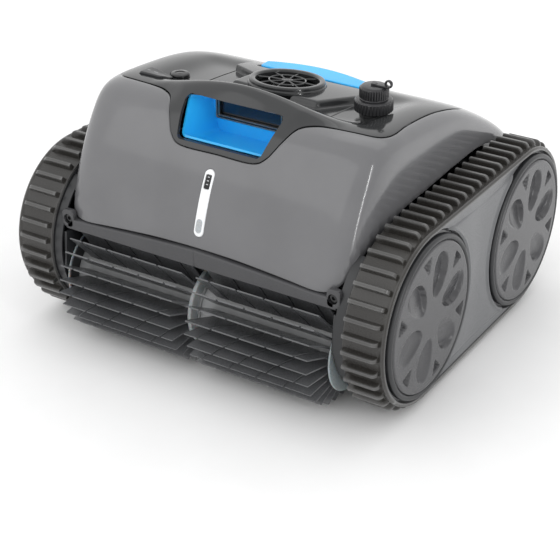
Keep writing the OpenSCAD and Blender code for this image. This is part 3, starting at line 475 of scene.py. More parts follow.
# ---------------------------------------------------------------- shell and deck
def thick_skin(name, low, high, fillet, wall, count, start=0.0, stop=1.0):
    """Shell wall between two guide loops: its outer face, two rounded lips and its inner face."""
    lengths = np.linalg.norm(high - low, axis=1)
    turns = np.linspace(0, np.pi / 2, 5)
    rows = [(start + fillet * (1 - np.sin(a)) / lengths, fillet * (1 - np.cos(a))) for a in turns[::-1]]
    middle = np.linspace(0, 1, count)[1:-1]
    rows += [(start + fillet / lengths + s * (stop - start - 2 * fillet / lengths), 0.0) for s in middle]
    rows += [(stop - fillet * (1 - np.sin(a)) / lengths, fillet * (1 - np.cos(a))) for a in turns]
    rows += [(stop + 0 * lengths, wall)]
    rows += [(stop - (stop - start) * s + 0 * lengths, wall) for s in np.linspace(0, 1, 10)[1:]]
    rings = []
    for share, inset in rows:
        guide = low + (high - low) * np.asarray(share)[:, None]
        rings.append(onto(guide, np.full(len(low), inset)))
    return skin(name, np.array(rings), torus=True)


seam, skirt = smooth_loop(SEAM, 10), smooth_loop(SKIRT, 10)
shell = thick_skin("top_shell_skin", skirt, seam, 1.0, SHELL_T, 34, stop=0.996)

# Light bar: a rounded slot down the front, laid on the face from low to high
LED_LOW, LED_HIGH = np.array([-172.6, 144.8]), np.array([-147.8, 203.0])
LED_W = 11.0
LED_LEAN = math.degrees(math.atan2(LED_HIGH[0] - LED_LOW[0], LED_HIGH[1] - LED_LOW[1]))
LED_L = float(np.linalg.norm(LED_HIGH - LED_LOW))
LED_MID = np.array([0, *(LED_LOW + LED_HIGH) / 2])


def led_place(piece):
    """Lays a piece drawn in the bar's own plane on the front face."""
    return turned(piece, rotation_x(90 - LED_LEAN), LED_MID)


led_hole = prism("led_cutter", rounded_outline(LED_W, LED_L, LED_W / 2 - 0.01, 12), -14, 14)
shell = cut(shell, [led_place(led_hole)])
dress(shell, "top_shell")

rings = []
share_of = np.linalg.norm(DECK_MID - seam, axis=1)
turns = np.linspace(0, np.pi / 2, 5)
for share, inset in ([(1 - k / 70, DECK_T) for k in range(1, 70)] + [(0.004 + 0 * share_of, DECK_T)]
                     + [(0.004 + (1 - np.sin(a)) / share_of, 1 - np.cos(a)) for a in turns[::-1]]
                     + [(0.02 + 0.98 * k / 110, 0.0) for k in range(0, 110)]):
    amount = np.asarray(share) + 0 * share_of
    guide = seam + (DECK_MID - seam) * amount[:, None]
    ring = onto(guide, np.full(len(seam), inset))
    fade = 1 - (1 - np.minimum(1, amount / 0.16)) ** 2
    ring[:, 2] += relief(ring[:, 0], ring[:, 1]) * fade
    rings.append(ring)
poles = [onto(DECK_MID[None], np.array([inset]))[0] for inset in (DECK_T, 0.0)]
for pole in poles:
    pole[2] += relief(pole[0], pole[1])
deck = skin("deck_skin", np.array(rings), poles[0], poles[1])

GRIP = dict(top_w=108.0, bottom_w=90.0, top_z=251.0, bottom_z=218.0, middle_z=230.0)
MOUTH_Y = -102.5


def grip_outline(grow=0.0, round_r=5.0):
    """Handle opening in X and Z: a tapering slot with rounded corners."""
    half_b, half_t = GRIP["bottom_w"] / 2 + grow, GRIP["top_w"] / 2 + grow
    low, high = GRIP["bottom_z"] - grow, GRIP["top_z"] + grow
    lean = math.degrees(math.atan2(half_t - half_b, high - low))
    parts = []
    for x, z, a0, a1 in ((half_b, low, -90, -lean), (half_t, high, -lean, 90),
                         (-half_t, high, 90, 180 + lean), (-half_b, low, 180 + lean, 270)):
        side, above = np.sign(x), np.sign(z - GRIP["middle_z"])
        dx = round_r * (1 / math.cos(math.radians(lean)) + math.tan(math.radians(lean)) * above)
        parts.append(arc((x - side * dx, z - above * round_r), round_r, a0, a1, 8))
    return np.concatenate(parts)


def upright(outline, low_y, high_y, name):
    """Prism over an outline in X and Z, from low_y to high_y."""
    rings = np.array([np.column_stack([outline[:, 0], np.full(len(outline), y), outline[:, 1]])
                      for y in (high_y, low_y)])
    return skin(name, rings)


HATCH_W, HATCH_Y, HATCH_ROUND = 148.0, (-72.5, 75.0), 12.0
HATCH_MID = np.array([0, sum(HATCH_Y) / 2])
PAD, PAD_SIZE = np.array([-114.0, -71.0]), (27.0, 20.0)
LENS, LENS_R = np.array([-102.0, -49.0]), 9.5
circle = arc((0, 0), 1.0, 0, 360, 65)[:-1]
hatch_hole = rounded_outline(HATCH_W + 1, HATCH_Y[1] - HATCH_Y[0] + 1, HATCH_ROUND + 0.5) + HATCH_MID
deck = cut(deck, [
    upright(grip_outline(), -160, MOUTH_Y, "mouth_cutter"),
    prism("hatch_cutter", hatch_hole, 190, 290),
    prism("port_cutter", circle * 13.2 + CAP[:2], 190, 290),
    prism("lens_cutter", circle * (LENS_R + 0.2) + LENS, 190, 290),
    prism("pad_cutter", rounded_outline(PAD_SIZE[0] + 1, PAD_SIZE[1] + 1, 2.5) + PAD, 190, 290)])
dress(deck, "deck_panel")


# ---------------------------------------------------------------- tracks
def track_skin():
    """Endless band: a cross-section carried round two half circles and two straights.

    A lug is a trapezoid along the band with steep flanks. Across the band it ends in a quarter ellipse
    h = sqrt(1 - t^2) at the outside and square at the inside.
    """
    mid_r = TRACK_R - LUG_H
    base = REAR_Y - FRONT_Y
    lap = 2 * base + 2 * np.pi * mid_r
    pitch = lap / LUGS
    beat = np.array([-0.5, -0.34, -0.19, -0.155, -0.135, -0.1, 0.0, 0.1, 0.135, 0.155, 0.19, 0.34])
    s = ((np.arange(LUGS)[:, None] + 0.5 + beat[None, :]) * pitch).ravel() % lap
    s = np.sort(s)
    half_lap = lap / 2
    on_top = s >= half_lap
    local = s - half_lap * on_top
    angle = np.maximum(local - base, 0) / mid_r
    sign = np.where(on_top, -1.0, 1.0)
    y0 = np.where(on_top, REAR_Y, FRONT_Y) + sign * np.minimum(local, base)
    normal_y, normal_z = sign * np.sin(angle), -sign * np.cos(angle)
    phase = np.abs((s / pitch) % 1 - 0.5)
    lug_end = BAND_X - LIP_W
    across = np.concatenate([BAND_IN_X + np.array([0, 0.3, 0.8, 1.5, 2.1, 2.3, 3, 6, 12, 18, 24, 29]),
                             lug_end - np.array([5.0, 4.2, 3.4, 2.6, 1.8, 1.1, 0.5, 0.15, 0.0]),
                             BAND_X - np.array([5.0, 4.2, 3.4, 2.6, 1.8, 1.0, 0.5, 0.2, 0.0])])
    u, p = np.meshgrid(across, phase, indexing="ij")
    reach = np.clip((u - (lug_end - LUG_ROUND)) / LUG_ROUND, 0, 1)
    outer_end = np.sqrt(np.clip(1 - reach ** 2, 0, 1))
    inner_end = np.clip((u - BAND_IN_X - 1.5) / 0.8, 0, 1)
    flank = np.clip((0.172 - p) / 0.055, 0, 1)
    flank = flank ** 0.8
    foot = 0.35 * np.exp(-(np.maximum(p - 0.16, 0) / 0.05) ** 2)
    height = (LUG_H - 0.1) * flank * outer_end * inner_end + foot * inner_end * (reach < 1)
    edge = np.clip(np.minimum(u - BAND_IN_X, BAND_X - u) / 1.2, 0, 1)
    rim = 0.8 * np.exp(-((u - (BAND_X - 2.4)) / 1.5) ** 2)
    height = height + rim - 1.1 * (1 - np.sqrt(1 - (1 - edge) ** 2))
    outer = mid_r + height
    inner = np.full_like(outer[:1], mid_r - BAND_T)
    radius = np.concatenate([outer, inner, inner])
    rows = np.concatenate([u, u[-1:] - 0.4, u[:1] + 0.4])
    y = y0[None, :] + radius * normal_y[None, :]
    z = AXLE_Z + radius * normal_z[None, :]
    return skin("track_band_right", np.stack([rows, y, z], -1), torus=True)


track = track_skin()
dress(mirrored(track, "track_band_left"), "track_left")
dress(track, "track_right")


# ---------------------------------------------------------------- wheels
def wheel_face(radius, angle):
    """Outward height of the disc: a seat for the rim and six oval pockets, each steep on one side and
    shallow on the other as 6 sin(pi w / 2), with a small wedge between neighbours near the rim."""
    roll = np.clip((radius - 70.0) / 2.5, 0, 1)
    height = -3.4 * (1 - np.sqrt(np.clip(1 - roll ** 2, 0, 1))) - 1.4 * (radius > 72.5)
    x, y = radius * np.cos(angle), radius * np.sin(angle)
    for k in range(6):
        turn = math.radians(60 * k + 14)
        out = x * math.cos(turn) + y * math.sin(turn)
        aside = -x * math.sin(turn) + y * math.cos(turn)
        bent = aside - 0.006 * (out - 41) ** 2
        oval = np.sqrt(((out - 41.5) / 21.5) ** 2 + (bent / (13.4 + 0.1 * (out - 41))) ** 2)
        wall = np.clip((1 - oval) / 0.16, 0, 1)
        ramp = np.clip((1 - oval) / 0.62, 0, 1)
        lean = ease(aside / 4.5)
        pocket = np.sin(np.pi / 2 * wall) * (1 - lean) + np.sin(np.pi / 2 * ramp) * lean * 0.45
        height = height - 6.0 * pocket
        wedge = turn + math.radians(29)
        far = x * math.cos(wedge) + y * math.sin(wedge)
        off = -x * math.sin(wedge) + y * math.cos(wedge)
        notch = np.clip((0.5 * (far - 50) - np.abs(off)) / 1.0, 0, 1) * np.clip((65.5 - radius) / 1.0, 0, 1)
        height = height - 3.4 * notch * (far > 50)
    return height


def wheel_skin(name, axle_y):
    """Drum, hub and disc as one closed skin: rings round the axle, out over the disc and back to the bore."""
    angle = np.linspace(0, 2 * np.pi, 240, endpoint=False)[None, :]
    face_r = np.concatenate([np.linspace(1.0, 60, 62), np.linspace(61, DISC_R, 26)])[:, None]
    face_x = DISC_X + wheel_face(face_r, angle)
    hub_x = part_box("wheel_front_right")[0][0] / MM
    back = [(DISC_R, DISC_X - 6.5), (DRUM_R, DISC_X - 7.2), (DRUM_R, hub_x + 3), (DRUM_R - 4, hub_x + 3),
            (DRUM_R - 4, DISC_X - 8), (12, DISC_X - 8), (12, hub_x), (6.05, hub_x), (6.05, DISC_X - 4.2)]
    radius = np.concatenate([face_r, [[r] for r, _ in back]]) + 0 * angle
    x = np.concatenate([face_x, np.array([[h] for _, h in back]) + 0 * angle])
    rings = np.stack([x, axle_y + radius * np.cos(angle), AXLE_Z + radius * np.sin(angle)], -1)
    ends = [np.array([DISC_X + wheel_face(np.zeros(1), np.zeros(1))[0], axle_y, AXLE_Z]),
            np.array([DISC_X - 4.2, axle_y, AXLE_Z])]
    return skin(name, rings, ends[0], ends[1])


for end, axle_y in (("front", FRONT_Y), ("rear", REAR_Y)):
    wheel = wheel_skin(f"wheel_disc_{end}_right", axle_y)
    dress(mirrored(wheel, f"wheel_disc_{end}_left"), f"wheel_{end}_left")
    dress(wheel, f"wheel_{end}_right")
    bead = arc((DISC_R - 2.7, DISC_X - 3.1), 2.9, 180, 0, 16).tolist()
    bead += [(DISC_R + 0.2, DISC_X - 6.4), (DISC_R - 5.6, DISC_X - 6.4)]
    tyre = lathe(f"wheel_rim_{end}_right", bead, ALONG_X, [0, axle_y, AXLE_Z], steps=180)
    for piece, side in ((mirrored(tyre, f"wheel_rim_{end}_left"), "left"), (tyre, "right")):
        dress(piece, f"wheel_{end}_{side}", FINISHES["chassis_dark"], stands_for=False)


# ---------------------------------------------------------------- brush
def vane_rows(name, spans):
    """Rows of soft blades round the core, each cut by slanted slits half a pitch apart from row to row.
    A blade's ends lean by SLANT times its height share, and it thins from its root to its tip."""
    radii = np.linspace(CORE_R - 0.5, BRUSH_R, 6)
    share = (radii - radii[0]) / (radii[-1] - radii[0])
    half_t = (1.8 - 0.5 * share) / 2
    points, faces, base = [], [], 0
    for row in range(BRUSH_ROWS):
        first = spans[0] - BLADE_PITCH * (0.5 if row % 2 else 0.0)
        turn = 2 * np.pi * row / BRUSH_ROWS + 0.06 * (1 - share) ** 2
        for k in range(7):
            low = first + k * BLADE_PITCH + SLIT / 2
            high = low + BLADE_PITCH - SLIT
            tip_lo, tip_hi = max(low, spans[0]), min(high, spans[1])
            if tip_hi - tip_lo < 3:
                continue
            lean = SLANT * (1 - share)
            lo, hi = np.clip(tip_lo + lean, spans[2], spans[3]), np.clip(tip_hi + lean, spans[2], spans[3])
            hi = np.maximum(hi, lo + 0.3)
            corners = []
            for x, t in ((lo, half_t), (hi, half_t), (hi, -half_t), (lo, -half_t)):
                y = BRUSH_Y - np.sin(turn) * radii - np.cos(turn) * t
                z = BRUSH_Z + np.cos(turn) * radii - np.sin(turn) * t
                corners.append(np.stack([x, y, z], -1))
            block = np.stack(corners, 1).reshape(-1, 3)
            points.append(block)
            faces += lattice(len(radii), 4, offset=base)
            faces += [[base + 3, base + 2, base + 1, base], [base + len(block) - 4 + j for j in range(4)]]
            base += len(block)
    return make(name, np.concatenate(points), faces)


BRUSH_ROWS, BLADE_PITCH, SLIT, SLANT = 27, 29.5, 2.4, 10.5
BRUSH_MID = [0, BRUSH_Y, BRUSH_Z]
for node, spans in (("left", (-144.6, -13.0, -144.6, -3.2)), ("right", (2.8, 135.0, 2.8, 144.6))):
    dress(vane_rows(f"brush_blades_{node}", spans), f"brush_vanes_{node}")


def disc(name, low, high, outer, inner, soft=0.5):
    """Ring about the brush axis with softened outer edges."""
    return lathe(name, [(inner, low), (outer - soft, low), (outer, low + soft), (outer, high - soft),
                        (outer - soft, high), (inner, high)], ALONG_X, BRUSH_MID)


for node, side in (("left", -1), ("right", 1)):
    lo, hi = (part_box(f"brush_core_{node}")[k][0] / MM for k in (0, 1))
    inner_x = lo if side > 0 else hi
    far = side * 144.8
    core = disc(f"brush_core_skin_{node}", min(inner_x, far), max(inner_x, far), CORE_R, 9.0)
    dress(core, f"brush_core_{node}")
    flange = disc(f"brush_flange_{node}", *sorted((side * 145.0, side * 146.0)), 41.0, 20.0, 0.3)
    dress(flange, f"brush_core_{node}", FINISHES["chassis_dark"], stands_for=False, slot="brush_core")
    rim = sorted((side * 146.0, side * 147.6))
    dress(disc(f"brush_rim_{node}", *rim, 42.4, 30.0, 0.6), f"brush_core_{node}", MILKY, stands_for=False,
          slot="brush_core")
dress(disc("brush_rim_middle", -7.2, -3.2, 40.5, CORE_R - 1, 0.9), "brush_core_left", MILKY, stands_for=False,
      slot="brush_core")


def softened(node, width, angle=40, material=None):
    """A piece with the form of a plain node and every edge sharper than the angle rounded off."""
    source = frame["nodes"][node]
    mesh = source.data.copy()
    mesh.transform(source.matrix_world)
    mesh.materials.clear()
    piece = bpy.data.objects.new(f"{node}_soft", mesh)
    bpy.context.scene.collection.objects.link(piece)
    weld = piece.modifiers.new("weld", "WELD")
    weld.merge_threshold = 0.00001
    round_off = piece.modifiers.new("round", "BEVEL")
    round_off.width, round_off.segments, round_off.limit_method = width * MM, 3, "ANGLE"
    round_off.angle_limit, round_off.use_clamp_overlap = math.radians(angle), True
    round_off.harden_normals = False
    graph = bpy.context.evaluated_depsgraph_get()
    piece.data = bpy.data.meshes.new_from_object(piece.evaluated_get(graph))
    piece.modifiers.clear()
    crease(piece, 50)
    return dress(piece, node, material)


# ---------------------------------------------------------------- front bumper
HOOD_R, BUMPER_Y, BUMPER_LOW = 62.8, -176.6, 115.3
EAR_T, SCREW_X, SCREW_Z, SCREW_R = 6.5, 146.6, 126.1, 4.3
SCREW_HEAD = [(1.9, 0), (3.8, 0), (SCREW_R, 0.5), (SCREW_R, 3.8), (0.05, 3.8), (0.05, 1.6), (1.9, 1.6)]


def bumper_beam():
    """Bar along X over the brush: a section at each x, up the rounded front, over the top, down the hood.
    The top falls as 132.4 - 6.2 (|x| / 124)^1.4 and the middle carries a fine seam."""
    x = np.concatenate([np.linspace(-150.8, -140, 12), np.linspace(-138, -4, 60), np.linspace(-2, 2, 9),
                        np.linspace(4, 138, 60), np.linspace(140, 150.8, 12)])
    top = 132.4 - 6.2 * np.minimum(np.abs(x) / 124, 1) ** 1.4 + 3.4 * ease((np.abs(x) - 143) / 1.2)
    end = np.clip((np.abs(x) - 147.5) / 3.3, 0, 1)
    tuck = 2.4 * (1 - np.sqrt(1 - end ** 2)) + 0.5 * np.exp(-(x / 0.7) ** 2)
    lift = np.linspace(60.6, 82, 10)
    hood_y = BRUSH_Y - (HOOD_R + 0.5) * np.cos(np.radians(lift))
    hood_z = BRUSH_Z + (HOOD_R + 0.5) * np.sin(np.radians(lift))
    rings = []
    for k, here in enumerate(x):
        front = BUMPER_Y + tuck[k]
        low = np.concatenate([arc((front + 1.6, BUMPER_LOW + 1.6), 1.6, 180, 270, 5),
                              np.column_stack([hood_y, hood_z])])
        high = np.concatenate([[[hood_y[-1], top[k] - 0.4]],
                               arc((front + 2.2, top[k] - 2.2), 2.2, 90, 180, 7)])
        ring = np.concatenate([low, high])
        rings.append(np.column_stack([np.full(len(ring), here), ring]))
    return skin("bumper_beam", np.array(rings))


def screw_hole(name, side):
    """Cutter for a bumper screw's recess."""
    drill = prism(name, circle * (SCREW_R + 0.6) + [side * SCREW_X, 0], -20, 20)
    return turned(drill, rotation_x(90), (0, BUMPER_Y, SCREW_Z))


def bumper_ear(side):
    """Ear at the bumper's end, rounded all round, with the screw's round recess."""
    outline = rounded_outline(14.0, 18.0, 4.5) + [side * 147.0, 0]
    piece = slab(f"bumper_ear_{side}", outline, lambda x, y: EAR_T + 0 * x, lambda x, y: 0 * x, 1.2)
    piece = turned(piece, UPRIGHT, (0, BUMPER_Y + EAR_T, SCREW_Z))
    return cut(piece, [screw_hole("ear_hole", side)])


beam = cut(bumper_beam(), [screw_hole("beam_hole", side) for side in (-1, 1)])
dress(joined("front_bumper_skin", [beam, bumper_ear(-1), bumper_ear(1)]), "front_bumper")
screws = []
for side in (-1, 1):
    screws.append(lathe(f"screw_{side}", SCREW_HEAD, ALONG_Y, [side * SCREW_X, BUMPER_Y + 2.0, SCREW_Z],
                        steps=36))
dress(joined("bumper_screw_heads", screws), "bumper_screws", FINISHES["black_gloss"])


# ---------------------------------------------------------------- side frames
def arc_rim(side):
    """Guard that follows the front wheel inside the track: an arc of a thin wall about the wheel's axle."""
    turn = np.radians(np.linspace(122, 236, 120))
    rings = []
    for k, a in enumerate(turn):
        low_end = math.degrees(a) > 226
        outer = 80.3 - (1.6 if low_end and k % 4 < 2 else 0.0)
        section = np.array([[152, 78.2], [160.2, 78.2], [161.2, 79.2], [160.6, outer], [152, outer]])
        ring = np.column_stack([side * section[:, 0], FRONT_Y + section[:, 1] * math.cos(a),
                                AXLE_Z + section[:, 1] * math.sin(a)])
        rings.append(ring)
    return skin(f"wheel_guard_{side}", np.array(rings))


for side, node in ((-1, "left"), (1, "right")):
    dress(arc_rim(side), f"side_frame_{node}", FINISHES["chassis_dark"], stands_for=False)


# ---------------------------------------------------------------- light bar
LED_N = rotation_x(90 - LED_LEAN) @ np.array([0, 0, 1.0])


def face_rise(x, y):
    """How far the body's face stands over the bar's own plane at (x, y)."""
    flat = np.stack([x, y, 0 * x], -1) @ rotation_x(90 - LED_LEAN).T + LED_MID
    return (onto(flat, np.zeros(np.shape(x))) - flat) @ LED_N


led_outline = densify(rounded_outline(LED_W - 0.7, LED_L - 0.7, (LED_W - 0.7) / 2 - 0.01, 12), 2.0)
lens = slab("light_bar_lens", led_outline, lambda x, y: face_rise(x, y) + 0.75,
            lambda x, y: face_rise(x, y) - 3.2, 1.1, steps=6, flow=12)
seat = slab("display_seat", rounded_outline(6.6, 14.4, 1.6) + [0, 19.6], lambda x, y: 0 * x + 12,
            lambda x, y: face_rise(x, y) - 0.6, 0.2)
lens = cut(lens, [seat])
dress(led_place(lens), "led_lens")
display = slab("light_bar_display", rounded_outline(5.8, 13.2, 1.3) + [0, 19.6],
               lambda x, y: face_rise(x, y) + 0.5, lambda x, y: face_rise(x, y) - 0.5, 0.4, flow=8)
dress(led_place(display), "led_display")
marks = []
for k, (x, y) in enumerate(((0, 24.0), (0, 20.6), (0, 17.2))):
    marks.append(slab(f"lamp_mark_{k}", rounded_outline(2.2, 0.9, 0.4) + [x, y],
                      lambda x, y: face_rise(x, y) + 0.56, lambda x, y: face_rise(x, y) + 0.4, 0.05))
dress(led_place(joined("display_marks", marks)), "led_display", INK, stands_for=False)
foot = slab("light_bar_foot", rounded_outline(6.4, 13.0, 3.1, 10) + [0, -21.5],
            lambda x, y: face_rise(x, y) + 0.95, lambda x, y: face_rise(x, y) + 0.5, 0.3, flow=8)
dress(led_place(foot), "led_lens", MILKY, stands_for=False)


# ---------------------------------------------------------------- handle
def liner_cup():
    """Blue cup from the handle's mouth (v = 0) to its rear wall (v = 1), its floor sinking as
    z = rear + (mouth - rear) (1 - v)^6; a second set of rings, 1.6 mm out, closes the wall."""
    lip = densify(grip_outline(-0.6), 3.0)

    def ring(v, grow):
        mouth = inward(lip, -grow)
        half_w = 41.0 + grow
        t = (mouth[:, 0] / np.abs(mouth[:, 0]).max())
        low, high = 209.3 - grow, 247.0 + grow
        up = (mouth[:, 1] - mouth[:, 1].min()) / np.ptp(mouth[:, 1])
        rear = np.column_stack([t * half_w, low + up * (high - low)])
        sink = 1 - (1 - v) ** (6 - 4 * up)
        x = mouth[:, 0] + (rear[:, 0] - mouth[:, 0]) * v ** 0.9
        z = mouth[:, 1] + (rear[:, 1] - mouth[:, 1]) * sink
        y0 = -126.4 + (mouth[:, 1] - 218) * 29 / 33
        y = y0 + (-81.8 + grow - y0) * v
        return np.column_stack([x, y, z])
    shares = np.concatenate([[0], np.linspace(0.03, 0.94, 26), [0.975, 0.992, 1.0]])
    inner = [ring(v, 0.0) for v in shares[::-1]]
    outer = [ring(v, 1.6) for v in shares]
    wall = []
    middle = np.array([0, -81.8, 229.0])
    for share in (0.25, 0.5, 0.75, 0.9):
        wall.append(middle + (inner[0] - middle) * share)
    back_mid = middle + [0, 1.6, 0]
    back = [back_mid + (outer[-1] - back_mid) * share for share in (0.9, 0.5)]
    return skin("handle_cup", np.array(wall + inner + outer + back), middle, back_mid)


cup = liner_cup()
opening = upright(rounded_outline(72.6, 18.6, 2.0) + [0, 232.0], -90, -70, "window_cutter")
dress(cut(cup, [opening]), "handle_liner")


def frame_bar(name, half_x, low, high, width, front, back, round_r):
    """Picture frame in X and Z with softened edges."""
    rings = []
    profile = [(0, front + 0.5), (0.5, front), (width - 0.5, front), (width, front + 0.5), (width, back),
               (0, back)]
    for inset, y in profile:
        outline = rounded_outline(2 * (half_x - inset), high - low - 2 * inset, max(round_r - inset, 0.3), 6)
        outline = outline + [0, (low + high) / 2]
        rings.append(np.column_stack([outline[:, 0], np.full(len(outline), y), outline[:, 1]]))
    return skin(name, np.array(rings), torus=True)


outer_bar = frame_bar("window_bezel", 37.7, 221.3, 242.7, 1.7, -82.6, -79.0, 2.6)
inner_bar = frame_bar("window_ridge", 35.4, 223.6, 240.4, 1.5, -82.0, -79.0, 1.4)
dress(joined("window_bezels", [outer_bar, inner_bar]), "window_frame")
pane = slab("window_pane", rounded_outline(73.0, 19.0, 1.2), lambda x, y: 0.8 + 0 * x,
            lambda x, y: -0.8 + 0 * x, 0.3)
dress(turned(pane, UPRIGHT, (0, -77.0, 232.0)), "inspection_window")


# ---------------------------------------------------------------- hatch, grille and latch
LATCH_X, LATCH_Y, LATCH_TOP, LATCH_T = (-57.0, 60.0), (23.5, 62.5), 236.2, 3.6
LATCH_PIN = [0, 64.0, 221.3]


def latch_top(x, y):
    """Latch height: level to an arc y = 48 - 12 (x / 57)^2, then falling towards the hinge."""
    brink = 48 - 12 * (np.asarray(x) / 57) ** 2
    fall = np.maximum(y - brink, 0)
    bow = np.sqrt(fall ** 2 + 4) - 2
    return LATCH_TOP - bow * (LATCH_TOP - 223.4) / (63.5 - brink)


def ledge(x, y):
    """1 on the raised ledge round the outlet, 0 in the dip in front of it and beside it."""
    front = ease((y + 46 + 0.05 * x) / 0.8)
    right = ease((54 + (y + 45) * 0.55 - x) / 0.8)
    left = ease((x + 46 + 2 * np.maximum(0, y + 8)) / 0.8)
    return front * right * left


def hatch_top(x, y):
    """Roof height over the hatch: the deck's dip away from the ledge, and a trough under the latch."""
    height = roof_z(x, y) + relief(x, y) * (1 - ledge(x, y))
    trough = np.minimum(height, latch_top(x, y) - LATCH_T - 1.3)
    inside = (ease((x - LATCH_X[0] + 1.6) / 0.4) * ease((LATCH_X[1] + 1.6 - x) / 0.4)
              * ease((y - LATCH_Y[0] + 1.4) / 0.4) * ease((LATCH_Y[1] + 1.6 - y) / 0.5))
    return height + (trough - height) * inside


hatch_size = (HATCH_W - 0.6, HATCH_Y[1] - HATCH_Y[0] - 0.6)
hatch_outline = densify(rounded_outline(*hatch_size, HATCH_ROUND, 14), 1.2) + HATCH_MID
hatch = slab("hatch_skin", hatch_outline, hatch_top, lambda x, y: roof_z(x, y) - 12.0, 0.9, steps=5, flow=90)
outlet_hole = turned(prism("outlet_cutter", circle * 37.9, -40, 30), rotation_x(-OUTLET_TILT), OUTLET)
dress(cut(hatch, [outlet_hole]), "filter_hatch")

TILT = rotation_x(-OUTLET_TILT)
rim = lathe("grille_rim", [(30.3, -4), (30.3, 0.6)] + arc((32.6, 0.6), 2.3, 180, 90, 6).tolist()
            + arc((34.6, 1.0), 1.9, 90, 0, 6).tolist()
            + [(36.6, -0.6), (37.2, -1.0), (37.6, -1.6), (37.6, -4)], np.eye(3), [0, 0, 0])
bars = [rim]
for k in range(8):
    a = math.radians(45 * k + 10)
    ray = np.array([math.cos(a), math.sin(a), 0])
    path = [ray * 4.0 + [0, 0, 0.6], ray * 16 + [0, 0, 0.9], ray * 30.8 + [0, 0, -0.1]]
    bars.append(tube(f"spoke_{k}", path, 0.85, 8))
for k, radius in enumerate((4.5, 17.5)):
    bars.append(lathe(f"grille_ring_{k}", arc((radius, 0.8), 0.95, 0, 360, 9)[:-1], np.eye(3), [0, 0, 0]))
bars.append(lathe("grille_hub", [(0.05, -0.6), (4.2, -0.6), (4.2, 0.9), (3.2, 1.5), (0.05, 1.7)], np.eye(3),
                  [0, 0, 0], steps=36))
dress(turned(joined("grille_skin", bars), TILT, OUTLET + [0, 0, 1.2]), "outlet_grille")

latch_outline = densify(rounded_outline(LATCH_X[1] - LATCH_X[0], LATCH_Y[1] - LATCH_Y[0], 4.0, 8), 1.5)
latch_outline = latch_outline + [sum(LATCH_X) / 2, sum(LATCH_Y) / 2]
latch = slab("latch_skin", latch_outline, latch_top, lambda x, y: latch_top(x, y) - LATCH_T, 1.2,
             steps=6, flow=44)
knuckles = lathe("latch_knuckle", [(1.7, -56), (3.4, -56), (3.4, 56), (1.7, 56)], ALONG_X, LATCH_PIN,
                 steps=40)
dress(joined("latch_piece", [latch, knuckles]), "latch_handle")


# ---------------------------------------------------------------- pad, lens and cap
def deck_height(x, y):
    """Height of the deck's outer face."""
    return roof_z(x, y) + relief(x, y)


pad_outline = densify(rounded_outline(PAD_SIZE[0] - 0.4, PAD_SIZE[1] - 0.4, 2.6, 8), 2.0) + PAD
pad = slab("mode_pad_skin", pad_outline, lambda x, y: deck_height(x, y) + 2.4,
           lambda x, y: 240.6 + 0 * x, 1.4, steps=6, flow=16)
dress(pad, "mode_pad", FINISHES["chassis_dark"])
prints = []
for k, (x, size) in enumerate(((-8.5, (3.6, 0.9)), (0.0, (4.6, 0.9)), (8.5, (3.6, 0.9)))):
    prints.append(slab(f"pad_mark_{k}", rounded_outline(size[0], size[1], 0.4) + PAD + [x, 0],
                       lambda x, y: deck_height(x, y) + 2.46, lambda x, y: deck_height(x, y) + 2.3, 0.05))
dress(joined("pad_marks", prints), "mode_pad", INK, stands_for=False)

lens_top = lathe("status_lens_skin", [(0.05, 236), (LENS_R - 0.1, 236), (LENS_R - 0.1, 240.6)]
                 + arc((LENS_R - 1.7, 240.6), 1.6, 0, 70, 6).tolist()
                 + [(5.2, 242.3), (4.6, 241.7), (0.05, 242.2)], np.eye(3), [*LENS, 0], steps=64)
dress(lens_top, "status_lens")

KNURL = 34


def knurl(angle, radius, height):
    """Rounded ridges round the cap's two grips."""
    skirt = (height > 1.2) & (height < 10.6) & (radius > 15)
    upper = (height > 13.6) & (height < 22.6) & (radius > 11)
    grip = skirt | upper
    return 1.0 * np.abs(np.sin(angle * KNURL / 2)) ** 0.7 * grip


cap_rows = [(13.6, 0.4), (16.6, 0.4), (17.0, 0.9), (17.0, 1.3), (17.0, 4.0), (17.0, 10.4), (17.0, 10.9),
            (16.4, 11.9), (15.0, 12.3), (13.2, 12.5), (12.7, 13.3), (12.7, 13.7), (12.7, 18), (12.7, 22.4),
            (12.7, 22.9), (12.0, 23.9), (10.4, 24.5), (3.2, 24.5), (3.2, 26.2), (2.6, 26.7), (0.05, 26.7),
            (0.05, 11.3), (13.6, 11.3)]
cap = lathe("cap_skin", cap_rows, np.eye(3), CAP, ripple=knurl, steps=KNURL * 10)
loop = lathe("cap_loop", arc((3.0, 0), 1.0, 0, 360, 13)[:-1] * [1, 2.0], ALONG_Y, CAP + [14.6, 0, 28.2],
             steps=40)
strap = slab("cap_strap", rounded_outline(15.0, 5.0, 1.0) + [8.0, 0], lambda x, y: 26.2 + 0 * x,
             lambda x, y: 24.3 + 0 * x, 0.5)
strap = turned(strap, np.eye(3), CAP)
dress(joined("charge_cap_skin", [cap, loop, strap]), "charge_cap")

